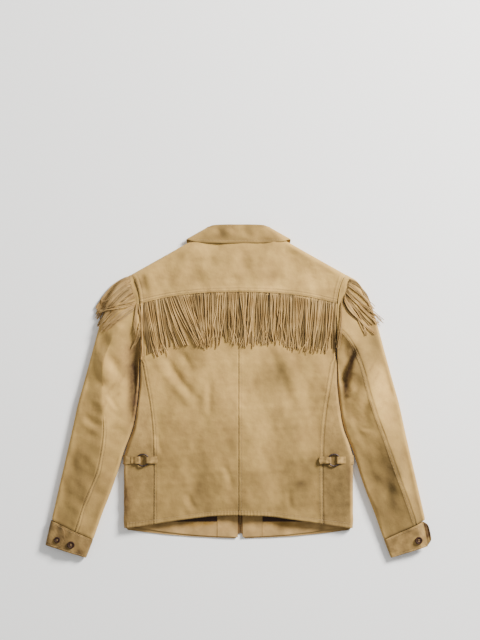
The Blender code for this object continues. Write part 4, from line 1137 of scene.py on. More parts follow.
# The folded collar, with its dark mark and stains at the back of the neck
def makeCollar():
    at = np.concatenate([np.linspace(0, 0.42, 44)[:-1], np.linspace(0.42, 0.6, 40)[:-1],
                         np.linspace(0.6, 1, 48)])
    at = np.concatenate([-at[:0:-1], at])[None, :]
    across = np.concatenate([np.linspace(0, 1, 12)[:-1], np.linspace(1, 2, 11)[:-1],
                             2 + spaced(42, 2.2, low=False)])[:, None]
    smooth = collarSurface(at + 0 * across, across + 0 * at)
    x, y = smooth[..., 0], smooth[..., 1]
    lift = collar["wall"] / 2
    onBack = 1 - ramp(0.36, 0.5, np.abs(at))
    edgeAway = (3 - across) * collar["fallLength"] + 0 * x
    fall = ramp(2.0, 2.3, across)
    relief = (0.9 * np.abs(drift(x, y, 121, 60)) + 0.3 * drift(x, y, 123, 22)) * ramp(0, 14, edgeAway)
    relief = (relief - 0.2 * bell(edgeAway - 6, 0.9)) * onBack * fall
    relief = relief + lift - 0.4 * bell(edgeAway, 1.4) * fall
    tone = patches(x, y, collar["tones"]) - 0.15 + 0.03 * drift(x, y, 125, 40)
    tone = tone * onBack - 0.10 * bell(edgeAway, 1.2)
    stain = patches(x, y, collar["stains"]) * onBack
    return makePanel("collarBand", smooth, 1.0, relief, tone, stain, [suede, suede],
                     wall=collar["wall"], node="collar")


# The fronts' insides: where the facing, hem facing, lining and tape end, and the stains by place
inside = {
    "facingEdge": 51.0,
    "facingTopGap": 2.0,
    "hemFacingEdge": 236.0,
    "hemFacingTop": -295.0,
    "hemFacingRise": 2.5,
    "liningEdge": 204.0,
    "liningTop": 40.0,
    "tape": (1.4, 11.0),
    "tapeLow": -322.0,
    "tapeTopGap": 4.0,
    "tapeDepth": 0.25,
    "depth": 0.6,
    "stains": [(-74, -299, 24, 5, 3, 1.0), (98, -299, 24, 5, -3, 1.0), (-112, -301, 20, 6, 0, 0.8),
               (64, -297, 10, 4, 0, 0.5), (132, -303, 18, 5, 0, 0.5), (-160, -306, 14, 6, 0, 0.3),
               (-20, -312, 14, 9, 0, 0.12), (30, -300, 12, 12, 0, 0.1)],
}


# A flat piece on the inside of a front between two x and two lines, following the front's points
def makeStrip(name, xLow, xHigh, low, high, side, depth, material, slot, folds=0.0):
    x = xLow + (xHigh - xLow) * spaced(abs(xHigh - xLow), 4.0)[None, :]
    rise = spaced(float(np.max(high(x) - low(x))), 4.5)[:, None]
    y = low(x) + (high(x) - low(x)) * rise
    smooth = sidePoints(3 - x / (bodyHalf(y) - foldRadius(y)), y, side)
    lowAway, edgeAway = y - low(x), xHigh - x + 0 * y
    x, y = smooth[..., 0], smooth[..., 1]
    creased = np.clip(0.6 * bell(edgeAway, 3.0) + 0.25 * np.abs(drift(x, y, 141, 24)), 0, 2)
    relief = frontRelief(x, y) - depth - folds * creased
    tone = 0.05 * drift(x, y, 131, 30) - 0.10 * bell(lowAway, 1.5) - 0.08 * bell(edgeAway, 1.5)
    stain = patches(x, y, inside["stains"]) + 0.05
    return makePanel(name + sideName(side), smooth, float(side), relief, tone, stain, [material],
                     wall=body["thinWall"])


# A level line for a strip to begin or end at
def level(value):
    return lambda x: value + 0 * x


# The front hem's line, as far up as its facing begins
def insideHem(x):
    return through(body["hemFront"], x) + inside["hemFacingRise"]


# Top of the front facing, a little under the neckline
def facingTop(x):
    return frontTopY(x) - inside["facingTopGap"]


# The zip's tape, the front facing, the hem facing and the lining of one front
def makeInsides(side):
    depth = body["wall"] + body["thinWall"] + inside["depth"]
    tapeTop = level(body["neckFrontY"] - inside["tapeTopGap"])
    beside = inside["facingEdge"] + body["seamGap"]
    hemTop, liningLow = level(inside["hemFacingTop"]), level(inside["hemFacingTop"] + body["seamGap"])
    makeStrip("zipTape", *inside["tape"], level(inside["tapeLow"]), tapeTop, side,
              body["wall"] + inside["tapeDepth"], tapeCloth, "tape")
    makeStrip("facing", body["zipHalf"] + 0.4, inside["facingEdge"], insideHem, facingTop, side, depth,
              facingSuede, "facing", folds=1.0)
    makeStrip("hemFacing", beside, inside["hemFacingEdge"], insideHem, hemTop, side, depth, facingSuede,
              "facing")
    makeStrip("lining", beside, inside["liningEdge"], liningLow, level(inside["liningTop"]), side,
              depth, liningCloth, "lining")


# Pieces seen from above, on which stitches and thongs lie
upperPieces = []
for side in (-1, 1):
    upperPieces += [makeBack(side), makeSide(side)]
    makeFront(side)
    for part, rings in sleeveRings.items():
        upperPieces.append(makeSleeve(side, part, np.concatenate(rings)[None, :]))
    upperPieces.append(makeCuff(side))
    makeInsides(side)
upperPieces += [makeYoke(), makeCollar()]
print("cloth panels made")


# The waist adjusters: a folded loop, a ring, and a strap round the side fold
adjuster = {
    "y": -155.0,
    "ringX": 215.0,
    "ringRadius": 13.25,
    "ringWire": 1.75,
    "wall": 1.3,
    "loopWidth": 14.0,
    "strapWidth": 21.0,
    "narrowWidth": 16.0,
    "clear": 0.4,
}
adjuster["low"] = body["layGap"] + adjuster["wall"] / 2
adjuster["middle"] = body["layGap"] + adjuster["wall"] + adjuster["clear"] + adjuster["ringWire"]

# Tone, stain, waviness and its size, size of the tone's clouds, and seed of each strap
strapLooks = {"waistLoop": (-0.06, 0.22, 0.08, 8, 12, 151), "waistStrap": (-0.04, 0.20, 0.10, 9, 14, 153)}


# Points along an arc, angles in degrees
def arcPath(centreX, centreZ, radius, start, end, count):
    turns = np.radians(np.linspace(start, end, count))
    return [(centreX + radius * math.cos(t), centreZ + radius * math.sin(t)) for t in turns]


# Points a step apart along a path, and each one's share of its length
def finer(path, step):
    path = np.array(path, float)
    run = np.concatenate([[0], np.cumsum(np.linalg.norm(np.diff(path, axis=0), axis=1))])
    at = np.linspace(0, run[-1], int(run[-1] / step) + 2)
    return np.stack([np.interp(at, run, path[:, k]) for k in range(path.shape[1])], axis=-1), at / run[-1]


# A strap of the adjuster from its smooth middle surface: thinner and darker at the edges
def makeStrap(kind, side, smooth, x, y, share, width):
    toneBase, stain, wavy, wave, cloud, seed = strapLooks[kind]
    edge = (0.5 - np.abs(share)) * width
    relief = adjuster["wall"] / 2 - 0.35 * bell(edge, 1.2) + wavy * drift(x, y, seed, wave)
    tone = toneBase - 0.10 * bell(edge, 1.2) + 0.05 * drift(x, y, seed + 1, cloud)
    return makePanel(kind + sideName(side), smooth, float(side), relief, tone, np.full(x.shape, stain),
                     [suedeWorn, suedeWorn], wall=adjuster["wall"])


# The loop folded round the ring's inner side
def makeWaistLoop(side):
    low, middle, wall, yMid = adjuster["low"], adjuster["middle"], adjuster["wall"], adjuster["y"]
    radius, clear = middle - low, adjuster["clear"]
    path = [(184.0, low), (192.0, low), (199.0, low)]
    path += arcPath(adjuster["ringX"] - adjuster["ringRadius"] + 3.4, middle, radius, -90, 90, 9)
    path += [(198.0, middle + radius), (191.0, low + wall + 1.2), (184.0, low + wall + clear)]
    path, far = finer(path, 1.2)
    far = far[None, :]
    share = np.linspace(-0.5, 0.5, 9)[:, None]
    width = adjuster["loopWidth"] + 3 * np.abs(2 * far - 1) ** 2
    rounded = 1 - (share * 2) ** 2
    x = path[None, :, 0] - 3.0 * rounded * np.where(far > 0.5, bell(far - 1, 0.2), 0)
    y = yMid + width * share
    smooth = mirrored(np.stack([x, y, backHeight(x, y) + path[None, :, 1]], axis=-1), side)
    makeStrap("waistLoop", side, smooth, x, y, share, width)


# The worn metal ring, tilted to lie on the back
def makeWaistRing(side):
    ringX, radius, yMid = adjuster["ringX"], adjuster["ringRadius"], adjuster["y"]
    under = backHeight(np.array([ringX - radius, ringX, ringX + radius]), np.full(3, yMid))
    tilt = math.atan2(under[0] - under[2], 2 * radius)
    turn, tube = [np.linspace(0, 2 * math.pi, n + 1)[:-1] for n in (64, 16)]
    u, v = np.meshgrid(turn, tube, indexing="ij")
    wire = adjuster["ringWire"] * (1 + 0.05 * np.sin(3 * u + side) + 0.03 * np.sin(7 * u))
    reach = radius + wire * np.cos(v)
    ring = np.stack([reach * np.cos(u), reach * np.sin(u), wire * np.sin(v)], axis=-1)
    cos, sin = math.cos(tilt), math.sin(tilt)
    spun = ring @ np.array([[cos, 0, -sin], [0, 1, 0], [sin, 0, cos]])
    spun = mirrored(spun + np.array([ringX, yMid, under[1] + adjuster["middle"]]), side)
    name = f"waistRing{sideName(side)}"
    k = np.arange(u.size).reshape(u.shape)
    faces = quads(np.vstack([k, k[:1]]))
    mesh = meshFrom(name, spun.reshape(-1, 3), faces if side > 0 else faces[:, ::-1])
    mesh.materials.append(iron)
    showPiece(name, mesh, nodeOf(name))


# The strap from the ring's outer side round the side fold
def makeWaistStrap(side):
    low, middle, wall, yMid = adjuster["low"], adjuster["middle"], adjuster["wall"], adjuster["y"]
    path = [(241.0, low + wall + adjuster["clear"]), (236.5, low + wall + 1.0), (231.0, 2 * middle - low)]
    path += arcPath(adjuster["ringX"] + adjuster["ringRadius"] - 4.6, middle, middle - low, 90, 270, 9)
    path, _ = finer(path + [(234.0, low)], 1.2)
    share = np.linspace(-0.5, 0.5, 11)[:, None]
    around = np.linspace(1.0, 1.7, 16)
    narrow = np.full(len(path), adjuster["strapWidth"] - adjuster["narrowWidth"])
    width = adjuster["strapWidth"] - np.concatenate([narrow, [3.0, 1.5, 0.6, 0.1], np.zeros(12)])
    y = yMid + width[None, :] * share
    wrapY, flatY = y[:, -16:], y[:, :-16]
    wrap = bodySurface(around[None, :] + 0 * wrapY, wrapY)
    wrap = wrap - gridNormals(wrap) * low
    flatX = path[None, :, 0] + 0 * share
    flat = np.stack([flatX, flatY, backHeight(flatX, flatY) + path[None, :, 1]], axis=-1)
    smooth = mirrored(np.concatenate([flat, wrap], axis=1), side)
    makeStrap("waistStrap", side, smooth, smooth[..., 0], y, share, width)


for side in (-1, 1):
    makeWaistLoop(side)
    makeWaistRing(side)
    makeWaistStrap(side)
print("waist adjusters made")


# One surface to lay stitches and thongs on, from the pieces seen from above
def layingSurface(pieces):
    points, faces, start = [], [], 0
    for mesh in (item.data for item in pieces):
        co = np.empty(len(mesh.vertices) * 3, np.float32)
        mesh.vertices.foreach_get("co", co)
        corner = np.empty(len(mesh.loops), np.int32)
        mesh.loops.foreach_get("vertex_index", corner)
        points.append(co.reshape(-1, 3) / millimetre)
        faces.append(corner.reshape(-1, 4) + start)
        start += len(mesh.vertices)
    return BVHTree.FromPolygons(np.concatenate(points).tolist(), np.concatenate(faces).tolist())


ground = layingSurface(upperPieces)


# Height and normal of the laid cloth under each point; nothing below gives NaN
def dropTo(x, y):
    height, normal = np.full(x.shape, np.nan), np.zeros(x.shape + (3,))
    normal[..., 2] = 1
    for place in np.ndindex(x.shape):
        hit, up, _, _ = ground.ray_cast((x[place], y[place], 90.0), (0, 0, -1))
        if hit is not None and hit.z > 1.0:
            height[place] = hit.z
            normal[place] = up if up.z > 0 else -up
    return height, normal


# Points at even steps along a line
def evenly(line, step):
    line = np.asarray(line, float)
    run = np.concatenate([[0], np.cumsum(np.linalg.norm(np.diff(line, axis=0), axis=1))])
    at = np.arange(0.5 * step, run[-1], step)
    return np.stack([np.interp(at, run, line[:, k]) for k in range(line.shape[1])], axis=-1)


# Step between stitches, how far they stand off and stray, and a stitch's length, width and height
stitching = {"pitch": 3.3, "lift": 0.12, "stray": 0.12, "size": (2.3, 0.8, 0.42)}


# A short rounded bar of a length, width and height for each stitch, all in one mesh
def stitchMesh(name, centres, alongs, normals, size=stitching["size"]):
    length, width, height = size
    alongs = alongs / np.linalg.norm(alongs, axis=1, keepdims=True)
    normals = normals - alongs * (normals * alongs).sum(1, keepdims=True)
    normals = normals / np.linalg.norm(normals, axis=1, keepdims=True)
    axes = np.stack([alongs, np.cross(normals, alongs), normals], axis=1)
    turn = np.arange(5) * 2 * math.pi / 5
    rings = [np.stack([np.full(5, end * 0.36 * length), 0.5 * width * np.cos(turn),
                       height * np.sin(turn)], axis=-1) for end in (-1, 1)]
    ends = np.array([[-0.5 * length, 0, -0.25 * height], [0.5 * length, 0, -0.25 * height]])
    bar = np.concatenate([*rings, ends])
    k, after = np.arange(5), np.roll(np.arange(5), -1)
    low, high = 0 * k + 10, 0 * k + 11
    corners = ((k, k + 5, after + 5), (k, after + 5, after), (after, low, k), (k + 5, high, after + 5))
    tris = np.concatenate([np.stack(corner, axis=-1) for corner in corners])
    points = centres[:, None] + bar[None] @ axes
    faces = (tris[None] + (np.arange(len(centres)) * len(bar))[:, None, None]).reshape(-1, 3)
    mesh = meshFrom(name, points.reshape(-1, 3), faces[:, ::-1])
    mesh.materials.append(threadMaterial)
    return mesh


# Rows of stitches along lines drawn on the laid cloth from above
def stitchLines(name, lines, seed):
    random = np.random.default_rng(seed)
    rows = []
    for line in lines:
        spots = evenly(line, stitching["pitch"])
        if len(spots) < 3:
            continue
        spots = spots + random.normal(0, stitching["stray"], spots.shape)
        height, normal = dropTo(spots[:, 0], spots[:, 1])
        good = ~np.isnan(height)
        climb = np.gradient(np.nan_to_num(height, nan=0.0))
        climb[~good | (np.abs(climb) > 3)] = 0
        along = np.column_stack([np.gradient(spots, axis=0), climb])
        centre = np.column_stack([spots, height + stitching["lift"]])
        rows.append(np.stack([centre, along, normal])[:, good])
    return showPiece(name, stitchMesh(name, *np.concatenate(rows, axis=1)))


# A line beside a seam: the seam's x at each y, moved towards the middle by an offset
def besideSeam(line, offset, low, high, side):
    y = np.arange(low, high, 2.0)
    return np.stack([side * (line(y) - offset), y], axis=-1)


# A line a distance up from the yoke's seam or the back's hem, as far as a half width
def aboveLine(rows, half, offset):
    x = np.arange(-half, half + 0.1, 2.0)
    return np.stack([x, through(rows, np.abs(x)) + offset], axis=-1)


# A line beside a sleeve's back seam between two stations
def sleeveLine(side, offset, low, high):
    station = np.linspace(low, high, 160)
    row = sleeveRow(station, side)
    ridge = row["ridge"] * row["length"]
    ring = 5 - offset / (row["length"] - row["innerFold"] - ridge)
    return sleeveSurface(station, ring, side)[:, :2]


# A line round a cuff at a share of its height between two rings
def cuffLine(side, height, low, high):
    ring = np.linspace(low, high, 60)
    return sleeveSurface(sleeve["cuffStation"] + height + 0 * ring, ring, side)[:, :2]


# Rows of stitches: the seam's line, their offsets from it, and the y they run from and to
seamRows = [
    (sideBackSeamX, body["seamStitches"], -300, body["underarmY"]),
    (armholeX, (2.6, 7.4), body["underarmY"] + 2, 100),
    (armholeX, yoke["armholeStitches"], body["yokeArmholeY"], 252),
]
cuffRows = [(0.09, 0.0, 0.95), (0.09, 4.05, 5.0), (0.93, 4.05, 5.0), (0.93, 0.02, 0.95)]


# Every row of stitches on the body and on the sleeves
def makeStitches():
    bodyLines, sleeveLines = [], []
    for side in (-1, 1):
        for line, offsets, low, high in seamRows:
            bodyLines += [besideSeam(line, offset, low, high, side) for offset in offsets]
        ends = sleeve["stitchStart"][side], sleeve["stitchEnd"]
        sleeveLines += [sleeveLine(side, offset, *ends) for offset in body["seamStitches"]]
        sleeveLines += [cuffLine(side, *row) for row in cuffRows]
    bodyLines += [aboveLine(body["yokeSeam"], 226.0, offset) for offset in yoke["stitches"]]
    bodyLines.append(aboveLine(body["hemBack"], 252.0, body["hemStitch"]))
    centreY = np.linspace(-278, 112, 240)
    bodyLines += [np.stack([offset + 0 * centreY, centreY], axis=-1) for offset in body["centreStitches"]]
    at = np.linspace(-collar["stitchEnd"], collar["stitchEnd"], 120)
    bodyLines.append(collarSurface(at, collar["stitchAcross"] + 0 * at)[:, :2])
    stitchLines("bodyStitches", bodyLines, 201)
    stitchLines("sleeveStitches", sleeveLines, 202)


makeStitches()
print("stitches made")


# Fringe: each strand is a thin cut thong
fringe = {
    "strandWidth": 2.35,
    "strandThick": 1.15,
    "length": 118.0,
    "pitch": 2.7,
    "segments": 30,
    "toneRange": (-0.6, 0.3),
}
# x along the yoke seam, how far the tips lean to the right over the full length, share kept
fringeLean = [(-222, 6, 1), (-205, 13, 1), (-178, 20, 1), (-154, 42, 1), (-120, 44, 1), (-93, 14, 1),
              (-66, 2, 1), (-46, -8, 0.8), (-19, 6, 0.9), (14, -2, 1), (48, 2, 1), (82, -2, 1),
              (116, -4, 1), (172, -12, 1), (217, -10, 1)]


# Closed thongs round centre lines: strands by points by x, y, z
def makeStrands(name, centre, width, thick, twist, tone):
    strands, count = centre.shape[:2]
    tangent = np.gradient(centre, axis=1)
    tangent = tangent / np.linalg.norm(tangent, axis=-1, keepdims=True)
    across = np.cross(tangent, np.array([0.0, 0.0, 1.0]))
    across = across / np.maximum(np.linalg.norm(across, axis=-1, keepdims=True), 1e-6)
    up = np.cross(across, tangent)
    cos, sin = np.cos(twist)[..., None], np.sin(twist)[..., None]
    wide, high = across * cos + up * sin, up * cos - across * sin
    taper = (1 - 0.25 * np.linspace(0, 1, count) ** 4)[None, :, None]
    half, rise = width[:, None, None] / 2 * taper, thick[:, None, None] / 2
    corners = np.stack([centre - wide * half - high * rise, centre + wide * half - high * rise,
                        centre + wide * half + high * rise, centre - wide * half + high * rise], axis=2)
    index = np.arange(strands * count * 4).reshape(strands, count, 4)
    a, b = index[:, :-1], index[:, 1:]
    sides = np.stack([a, b, np.roll(b, -1, axis=2), np.roll(a, -1, axis=2)], axis=-1).reshape(-1, 4)
    caps = np.concatenate([index[:, 0, :], index[:, -1, ::-1]])
    mesh = meshFrom(name, corners.reshape(-1, 3), np.concatenate([sides, caps])[:, ::-1])
    pointValues(mesh, "tone", np.repeat(tone, count * 4))
    pointValues(mesh, "along", np.tile(np.repeat(np.linspace(0, 1, count), 4), strands))
    mesh.set_sharp_from_angle(angle=math.radians(40))
    mesh.materials.append(fringeSuede)
    return showPiece(name, mesh, nodeOf(name))


# Heights of strands laid on the cloth: the ground smoothed along each strand, drooping past its edge
def strandHeights(x, y, lift):
    height, _ = dropTo(x, y)
    for k in range(1, x.shape[1]):
        missing = np.isnan(height[:, k])
        step = np.hypot(x[:, k] - x[:, k - 1], y[:, k] - y[:, k - 1])
        height[:, k] = np.where(missing, np.maximum(height[:, k - 1] - 0.45 * step, 2.0), height[:, k])
    for k in range(x.shape[1] - 2, -1, -1):
        height[:, k] = np.where(np.isnan(height[:, k]), height[:, k + 1], height[:, k])
    height = np.where(np.isnan(height), 3.0, height)
    padded = np.pad(height, ((0, 0), (2, 2)), mode="edge")
    smooth = sum(padded[:, k:k + x.shape[1]] for k in range(5)) / 5
    return np.maximum(smooth, height - 0.6) + lift


# Suede of the thongs: darker near the root, each strand a little different
def fringeMaterial():
    graph = Graph("fringe")
    where = graph.place()
    tone, along = graph.value("tone"), graph.value("along")
    streak = graph.noise(where, 0.03, 2.0, 0.4)
    colour = graph.mix(streak.between(0.2, 0.8), paint(146, 114, 66), paint(176, 144, 92))
    colour = graph.shade(colour, 1.0 + tone - 0.22 * (1 - along.between(0.0, 0.18)))
    return graph.finish(colour, 0.9, graph.bump(graph.noise(where, 0.0012, 3.0, 0.6), 0.0004, 0.5),
                        **{"Sheen Weight": 0.1, "Specular IOR Level": 0.15})


fringeSuede = fringeMaterial()


# The run sewn into the yoke's seam: an under, an upper and a loose layer of thongs
def makeBackFringe():
    random = np.random.default_rng(77)
    starts = ((-219.0, 220.0, 1.0), (-219.5, 220.0, 1.7), (-217.0, 218.0, 2.9))
    roots = [np.arange(low, high, times * fringe["pitch"]) for low, high, times in starts]
    layers = np.repeat([0.0, 1.0, 2.0], [len(layer) for layer in roots])
    rootX = np.concatenate(roots)
    rootX = np.clip(rootX + random.normal(0, 0.7, rootX.shape), -221, 221)
    kept = random.uniform(0, 1, rootX.shape) < through(fringeLean, rootX, 2)
    rootX, layers = rootX[kept], layers[kept]
    count = len(rootX)
    t = np.linspace(0, 1, fringe["segments"])[None, :]
    loosely = 4.0 + 5.5 * bell(rootX - 20, 90)
    lean = through(fringeLean, rootX) + loosely * random.normal(0, 1, count)
    lean = np.clip(lean + 1.6 * random.standard_t(3, count), -34, 52)
    clump = 5.5 * np.sin(rootX / 3.4) + 4.5 * np.sin(rootX / 8.3 + 1.0)
    length = fringe["length"] * (1 + 0.03 * random.normal(0, 1, count) + 0.03 * np.sin(rootX / 19))
    length = length * np.where(layers < 1, 0.93, 1.0)
    wavy = np.where(random.uniform(0, 1, count) < 0.35, 2.6, 0.9)
    wavy = wavy * (0.7 + 0.6 * (np.abs(rootX - 20) < 95))
    phase = random.uniform(0, 2 * math.pi, (3, count, 1))
    turns = random.uniform(0.7, 1.8, (3, count, 1))
    wave = wavy[:, None] * (t**1.5 * np.sin(2 * math.pi * turns[0] * t + phase[0]) +
                            0.45 * t * np.sin(4.4 * math.pi * turns[1] * t + phase[1]))
    hook = np.where(random.uniform(0, 1, count) < 0.12, random.normal(0, 7, count), 0)[:, None]
    x = rootX[:, None] + (lean + clump)[:, None] * (0.75 * t + 0.25 * t**2) + wave
    x = x + hook * ramp(0.72, 1.0, t)
    seam = through(body["yokeSeam"], np.abs(rootX))[:, None]
    drop = np.sqrt(np.maximum(length**2 - (lean * 0.9) ** 2, 900))[:, None]
    y = seam + 0.9 - drop * t + 0.6 * wavy[:, None] * t * np.sin(3 * math.pi * t + phase[2])
    x = np.clip(x, -236, 236)
    heap = 0.75 + 1.15 * layers[:, None] + 0.7 * random.uniform(0, 1, (count, 1))
    heap = heap + 0.5 * np.sin(2 * math.pi * turns[2] * t + phase[0]) * t
    lift = -0.9 + (heap + 0.9) * ramp(0.0, 0.10, t)
    z = strandHeights(x, y, lift)
    turned = np.where(random.uniform(0, 1, count) < 0.4, random.normal(0, 1.6, count), 0.25)[:, None]
    twist = turned * ramp(0.08, 1.0, t) + 0.15 * np.sin(5 * t + phase[1])
    # Painted light and shade by layer: the under layer darkest and the loose top layer palest; painted
    # shade also darkens the strands towards the right
    tone = np.where(layers < 1, -0.58, -0.12) + random.normal(0, 0.17, count) + 0.22 * (layers > 1)
    tone = np.clip(tone, *fringe["toneRange"]) - 0.10 * bell(rootX + 84, 16)
    tone = tone - 0.12 * bell(rootX - 64, 24) - 0.05 * ramp(40, 160, rootX)
    broadness = np.select([layers < 1, layers < 2], [1.5, 0.86], 0.7)
    width = fringe["strandWidth"] * broadness * random.uniform(0.75, 1.15, count)
    thick = fringe["strandThick"] * random.uniform(0.85, 1.15, count)
    return makeStrands("fringeBack", np.stack([x, y, z], axis=-1), width, thick, twist, tone)


# Bunches over the sleeve heads: root, middle and tip of the bunch, strands, spread, layer
shoulderBunches = {
    -1: [
        (-243, 254, -283, 233, -319, 188, 12, 5, 1), (-243, 250, -280, 226, -316, 176, 12, 7, 2),
        (-246, 246, -272, 226, -300, 196, 12, 14, 1),
        (-245, 250, -282, 226, -318, 178, 7, 7, 0), (-243, 240, -275, 214, -317, 166, 8, 7, 1),
        (-238, 228, -272, 200, -314, 151, 8, 7, 1), (-234, 214, -267, 189, -306, 143, 8, 7, 2),
        (-232, 199, -271, 189, -312, 180, 2, 2, 4), (-233, 193, -265, 172, -302, 141, 7, 7, 2),
        (-233, 188, -256, 169, -284, 150, 4, 6, 1), (-228, 194, -230, 155, -231, 128, 5, 4, 2),
        (-224, 192, -221, 137, -240, 99, 3, 4, 3), (-250, 236, -292, 206, -312, 208, 1, 2, 2),
        (-236, 220, -262, 206, -300, 196, 4, 8, 0), (-240, 236, -285, 205, -306, 160, 6, 8, 0),
    ],
    1: [
        (246, 248, 274, 233, 300, 188, 5, 4, 0), (244, 241, 270, 221, 303, 183, 6, 5, 1),
        (242, 231, 277, 199, 325, 159, 4, 2, 2), (240, 227, 273, 192, 313, 151, 6, 5, 1),
        (240, 222, 268, 196, 308, 160, 4, 5, 0), (238, 216, 257, 178, 306, 131, 6, 4, 2),
        (236, 209, 262, 178, 288, 127, 4, 3, 1), (235, 204, 250, 178, 270, 158, 4, 5, 0),
        (231, 200, 229, 150, 221, 96, 5, 4, 2), (238, 214, 262, 190, 296, 150, 4, 6, 0),
    ],
}


# A shoulder's thongs: each a curve from its root through the middle of its bunch to its tip
def makeShoulderFringe(side):
    random = np.random.default_rng(90 + side)
    rows = []
    for x0, y0, x1, y1, x2, y2, many, spread, layer in shoulderBunches[side]:
        many = int(1.5 * many) if side < 0 else many - (layer == 0)
        for k in range(many):
            share = (k + 0.5) / many - 0.5
            root = (x0 - side * 2.4 * share, y0 - share * 9)
            bend = random.normal(0, 1.6, 2)
            tipX = x2 + share * spread * 1.2 + random.normal(0, 2.0)
            tip = (tipX, y2 + share * spread + random.normal(0, 3.0))
            rows.append((*root, x1 + share * 5 + bend[0], y1 - share * 7 + bend[1], *tip, layer))
    rows = np.array(rows)
    count = len(rows)
    t = np.linspace(0, 1, fringe["segments"])[None, :]
    first, second, third = (1 - t) ** 2, 2 * t * (1 - t), t**2
    middleX = 2 * rows[:, 2] - 0.5 * (rows[:, 0] + rows[:, 4])
    middleY = 2 * rows[:, 3] - 0.5 * (rows[:, 1] + rows[:, 5])
    x = rows[:, 0, None] * first + middleX[:, None] * second + rows[:, 4, None] * third
    y = rows[:, 1, None] * first + middleY[:, None] * second + rows[:, 5, None] * third
    phase, turns = random.uniform(0, 2 * math.pi, (2, count, 1)), random.uniform(0.8, 2.0, (2, count, 1))
    sway = 1.3 * t * np.sin(2 * math.pi * turns[0] * t + phase[0])
    x, y = x + sway, y + 0.8 * sway
    lift = 0.8 + 1.25 * rows[:, 6, None] + 0.7 * random.uniform(0, 1, (count, 1))
    lift = -0.7 + (lift + 0.7) * ramp(0, 0.12, t)
    z = strandHeights(x, y, lift)
    twist = random.normal(0, 0.9, count)[:, None] * t + 0.2 * np.sin(5 * t + phase[1])
    # Painted shade by layer: the under layer darker than those over it
    tone = np.where(rows[:, 6] < 1, -0.52, -0.18) + random.normal(0, 0.16, count) + 0.04 * rows[:, 6]
    width = fringe["strandWidth"] * random.uniform(0.6, 0.9, count)
    thick = fringe["strandThick"] * random.uniform(0.85, 1.1, count)
    return makeStrands(f"fringeShoulder{sideName(side)}", np.stack([x, y, z], axis=-1), width, thick,
                       twist, np.clip(tone, *fringe["toneRange"]))


makeBackFringe()
for side in (-1, 1):
    makeShoulderFringe(side)
print("fringe made")


# Cuff buttons: side, number, station, distance from the sleeve's outer edge, diameter
buttons = [(-1, 1, 10.62, 24.0, 14.0), (-1, 2, 10.60, 56.0, 17.0), (1, 1, 10.62, 26.0, 17.0)]


# Horn: dark brown with paler streaks
def hornMaterial():
    graph = Graph("horn")
    streak = graph.noise(graph.place(), 0.006, 4.0, 0.6, 2.0).between(0.35, 0.7)
    colour = graph.mix(streak, paint(30, 17, 10), paint(66, 40, 24))
    return graph.finish(colour, 0.62 + 0.2 * streak, **{"Specular IOR Level": 0.2})


horn = hornMaterial()


# A point on the cuff and its outward direction, a distance in from the outer edge
def cuffPlace(side, station, distance):
    stations = np.array([station - 0.1, station, station + 0.1])
    row = sleeveRow(stations, side)
    ridge = row["ridge"] * row["length"]
    across = (distance + np.array([-4.0, 0.0, 4.0]))[None, :]
    far = (row["length"] - row["innerFold"] - ridge)[:, None]
    ring = np.where(across > ridge[:, None], 5 - (across - ridge[:, None]) / far,
                    (ridge[:, None] - across) / (ridge - row["outerFold"])[:, None])
    points = sleeveSurface(stations[:, None] + 0 * ring, ring, side)
    normal = gridNormals(points)[1, 1]
    return points[1, 1], normal if normal[2] > 0 else -normal


# The button's half profile: share of its radius and height above the cuff
buttonProfile = [(0.0001, 1.3), (0.52, 1.3), (0.62, 1.55), (0.68, 2.2), (0.76, 2.6), (0.86, 2.55),
                 (0.95, 2.1), (1.0, 1.3), (0.97, 0.6), (0.86, 0.1), (0.6, 0.0), (0.0001, 0.0)]
# Its holes: share of the button's radius they stand off the middle, radius, height, thread's height
buttonHoles = {"corner": 0.20, "radius": 0.75, "height": 1.36, "threadHeight": 1.5}


# A turned four-hole button, a disc of painted shade in each hole and two bars of thread
def makeButton(side, number, station, distance, diameter):
    place, normal = cuffPlace(side, station, distance)
    lapped = side < 0 and number == 1
    rise = body["layGap"] + 0.5 + (body["wall"] + cuff["lapGap"] if lapped else 0.0)
    radius = diameter / 2
    profile = np.array(buttonProfile)
    turn = np.linspace(0, 2 * math.pi, 49)[:-1]
    reach = radius * profile[:, None, 0]
    ring = np.stack([reach * np.cos(turn), reach * np.sin(turn), profile[:, None, 1] + 0 * turn], axis=-1)
    z = normal / np.linalg.norm(normal)
    x = np.cross([0.0, 1.0, 0.0], z)
    x = x / np.linalg.norm(x)
    axes = np.stack([x, np.cross(z, x), z])
    centre = place + normal * rise
    name = f"cuffButton{sideName(side)}{number}"
    faces = quads(np.arange(ring.size // 3).reshape(ring.shape[:2]))
    mesh = meshFrom(name, ring.reshape(-1, 3) @ axes + centre, faces)
    mesh.materials.append(horn)
    mesh.set_sharp_from_angle(angle=math.radians(50))
    showPiece(name, mesh, nodeOf(name))
    corner = buttonHoles["corner"] * radius
    holes = np.array([(a, b, 0) for a in (-corner, corner) for b in (-corner, corner)])
    few, small = turn[::6], buttonHoles["radius"]
    disc = np.stack([small * np.cos(few), small * np.sin(few), 0 * few + buttonHoles["height"]], axis=-1)
    dark = (holes[:, None] + disc[None]).reshape(-1, 3) @ axes + centre
    mesh = meshFrom(name + "Holes", dark, np.arange(32).reshape(4, 8))
    mesh.materials.append(shadowBrown)
    showPiece(name + "Holes", mesh)
    bars = np.array([(0, y, buttonHoles["threadHeight"]) for y in (-corner, corner)]) @ axes + centre
    mesh = stitchMesh(name + "Thread", bars, axes[[0, 0]], axes[[2, 2]], (2.6 * corner, 0.9, 0.45))
    showPiece(name + "Thread", mesh)


for row in buttons:
    makeButton(*row)


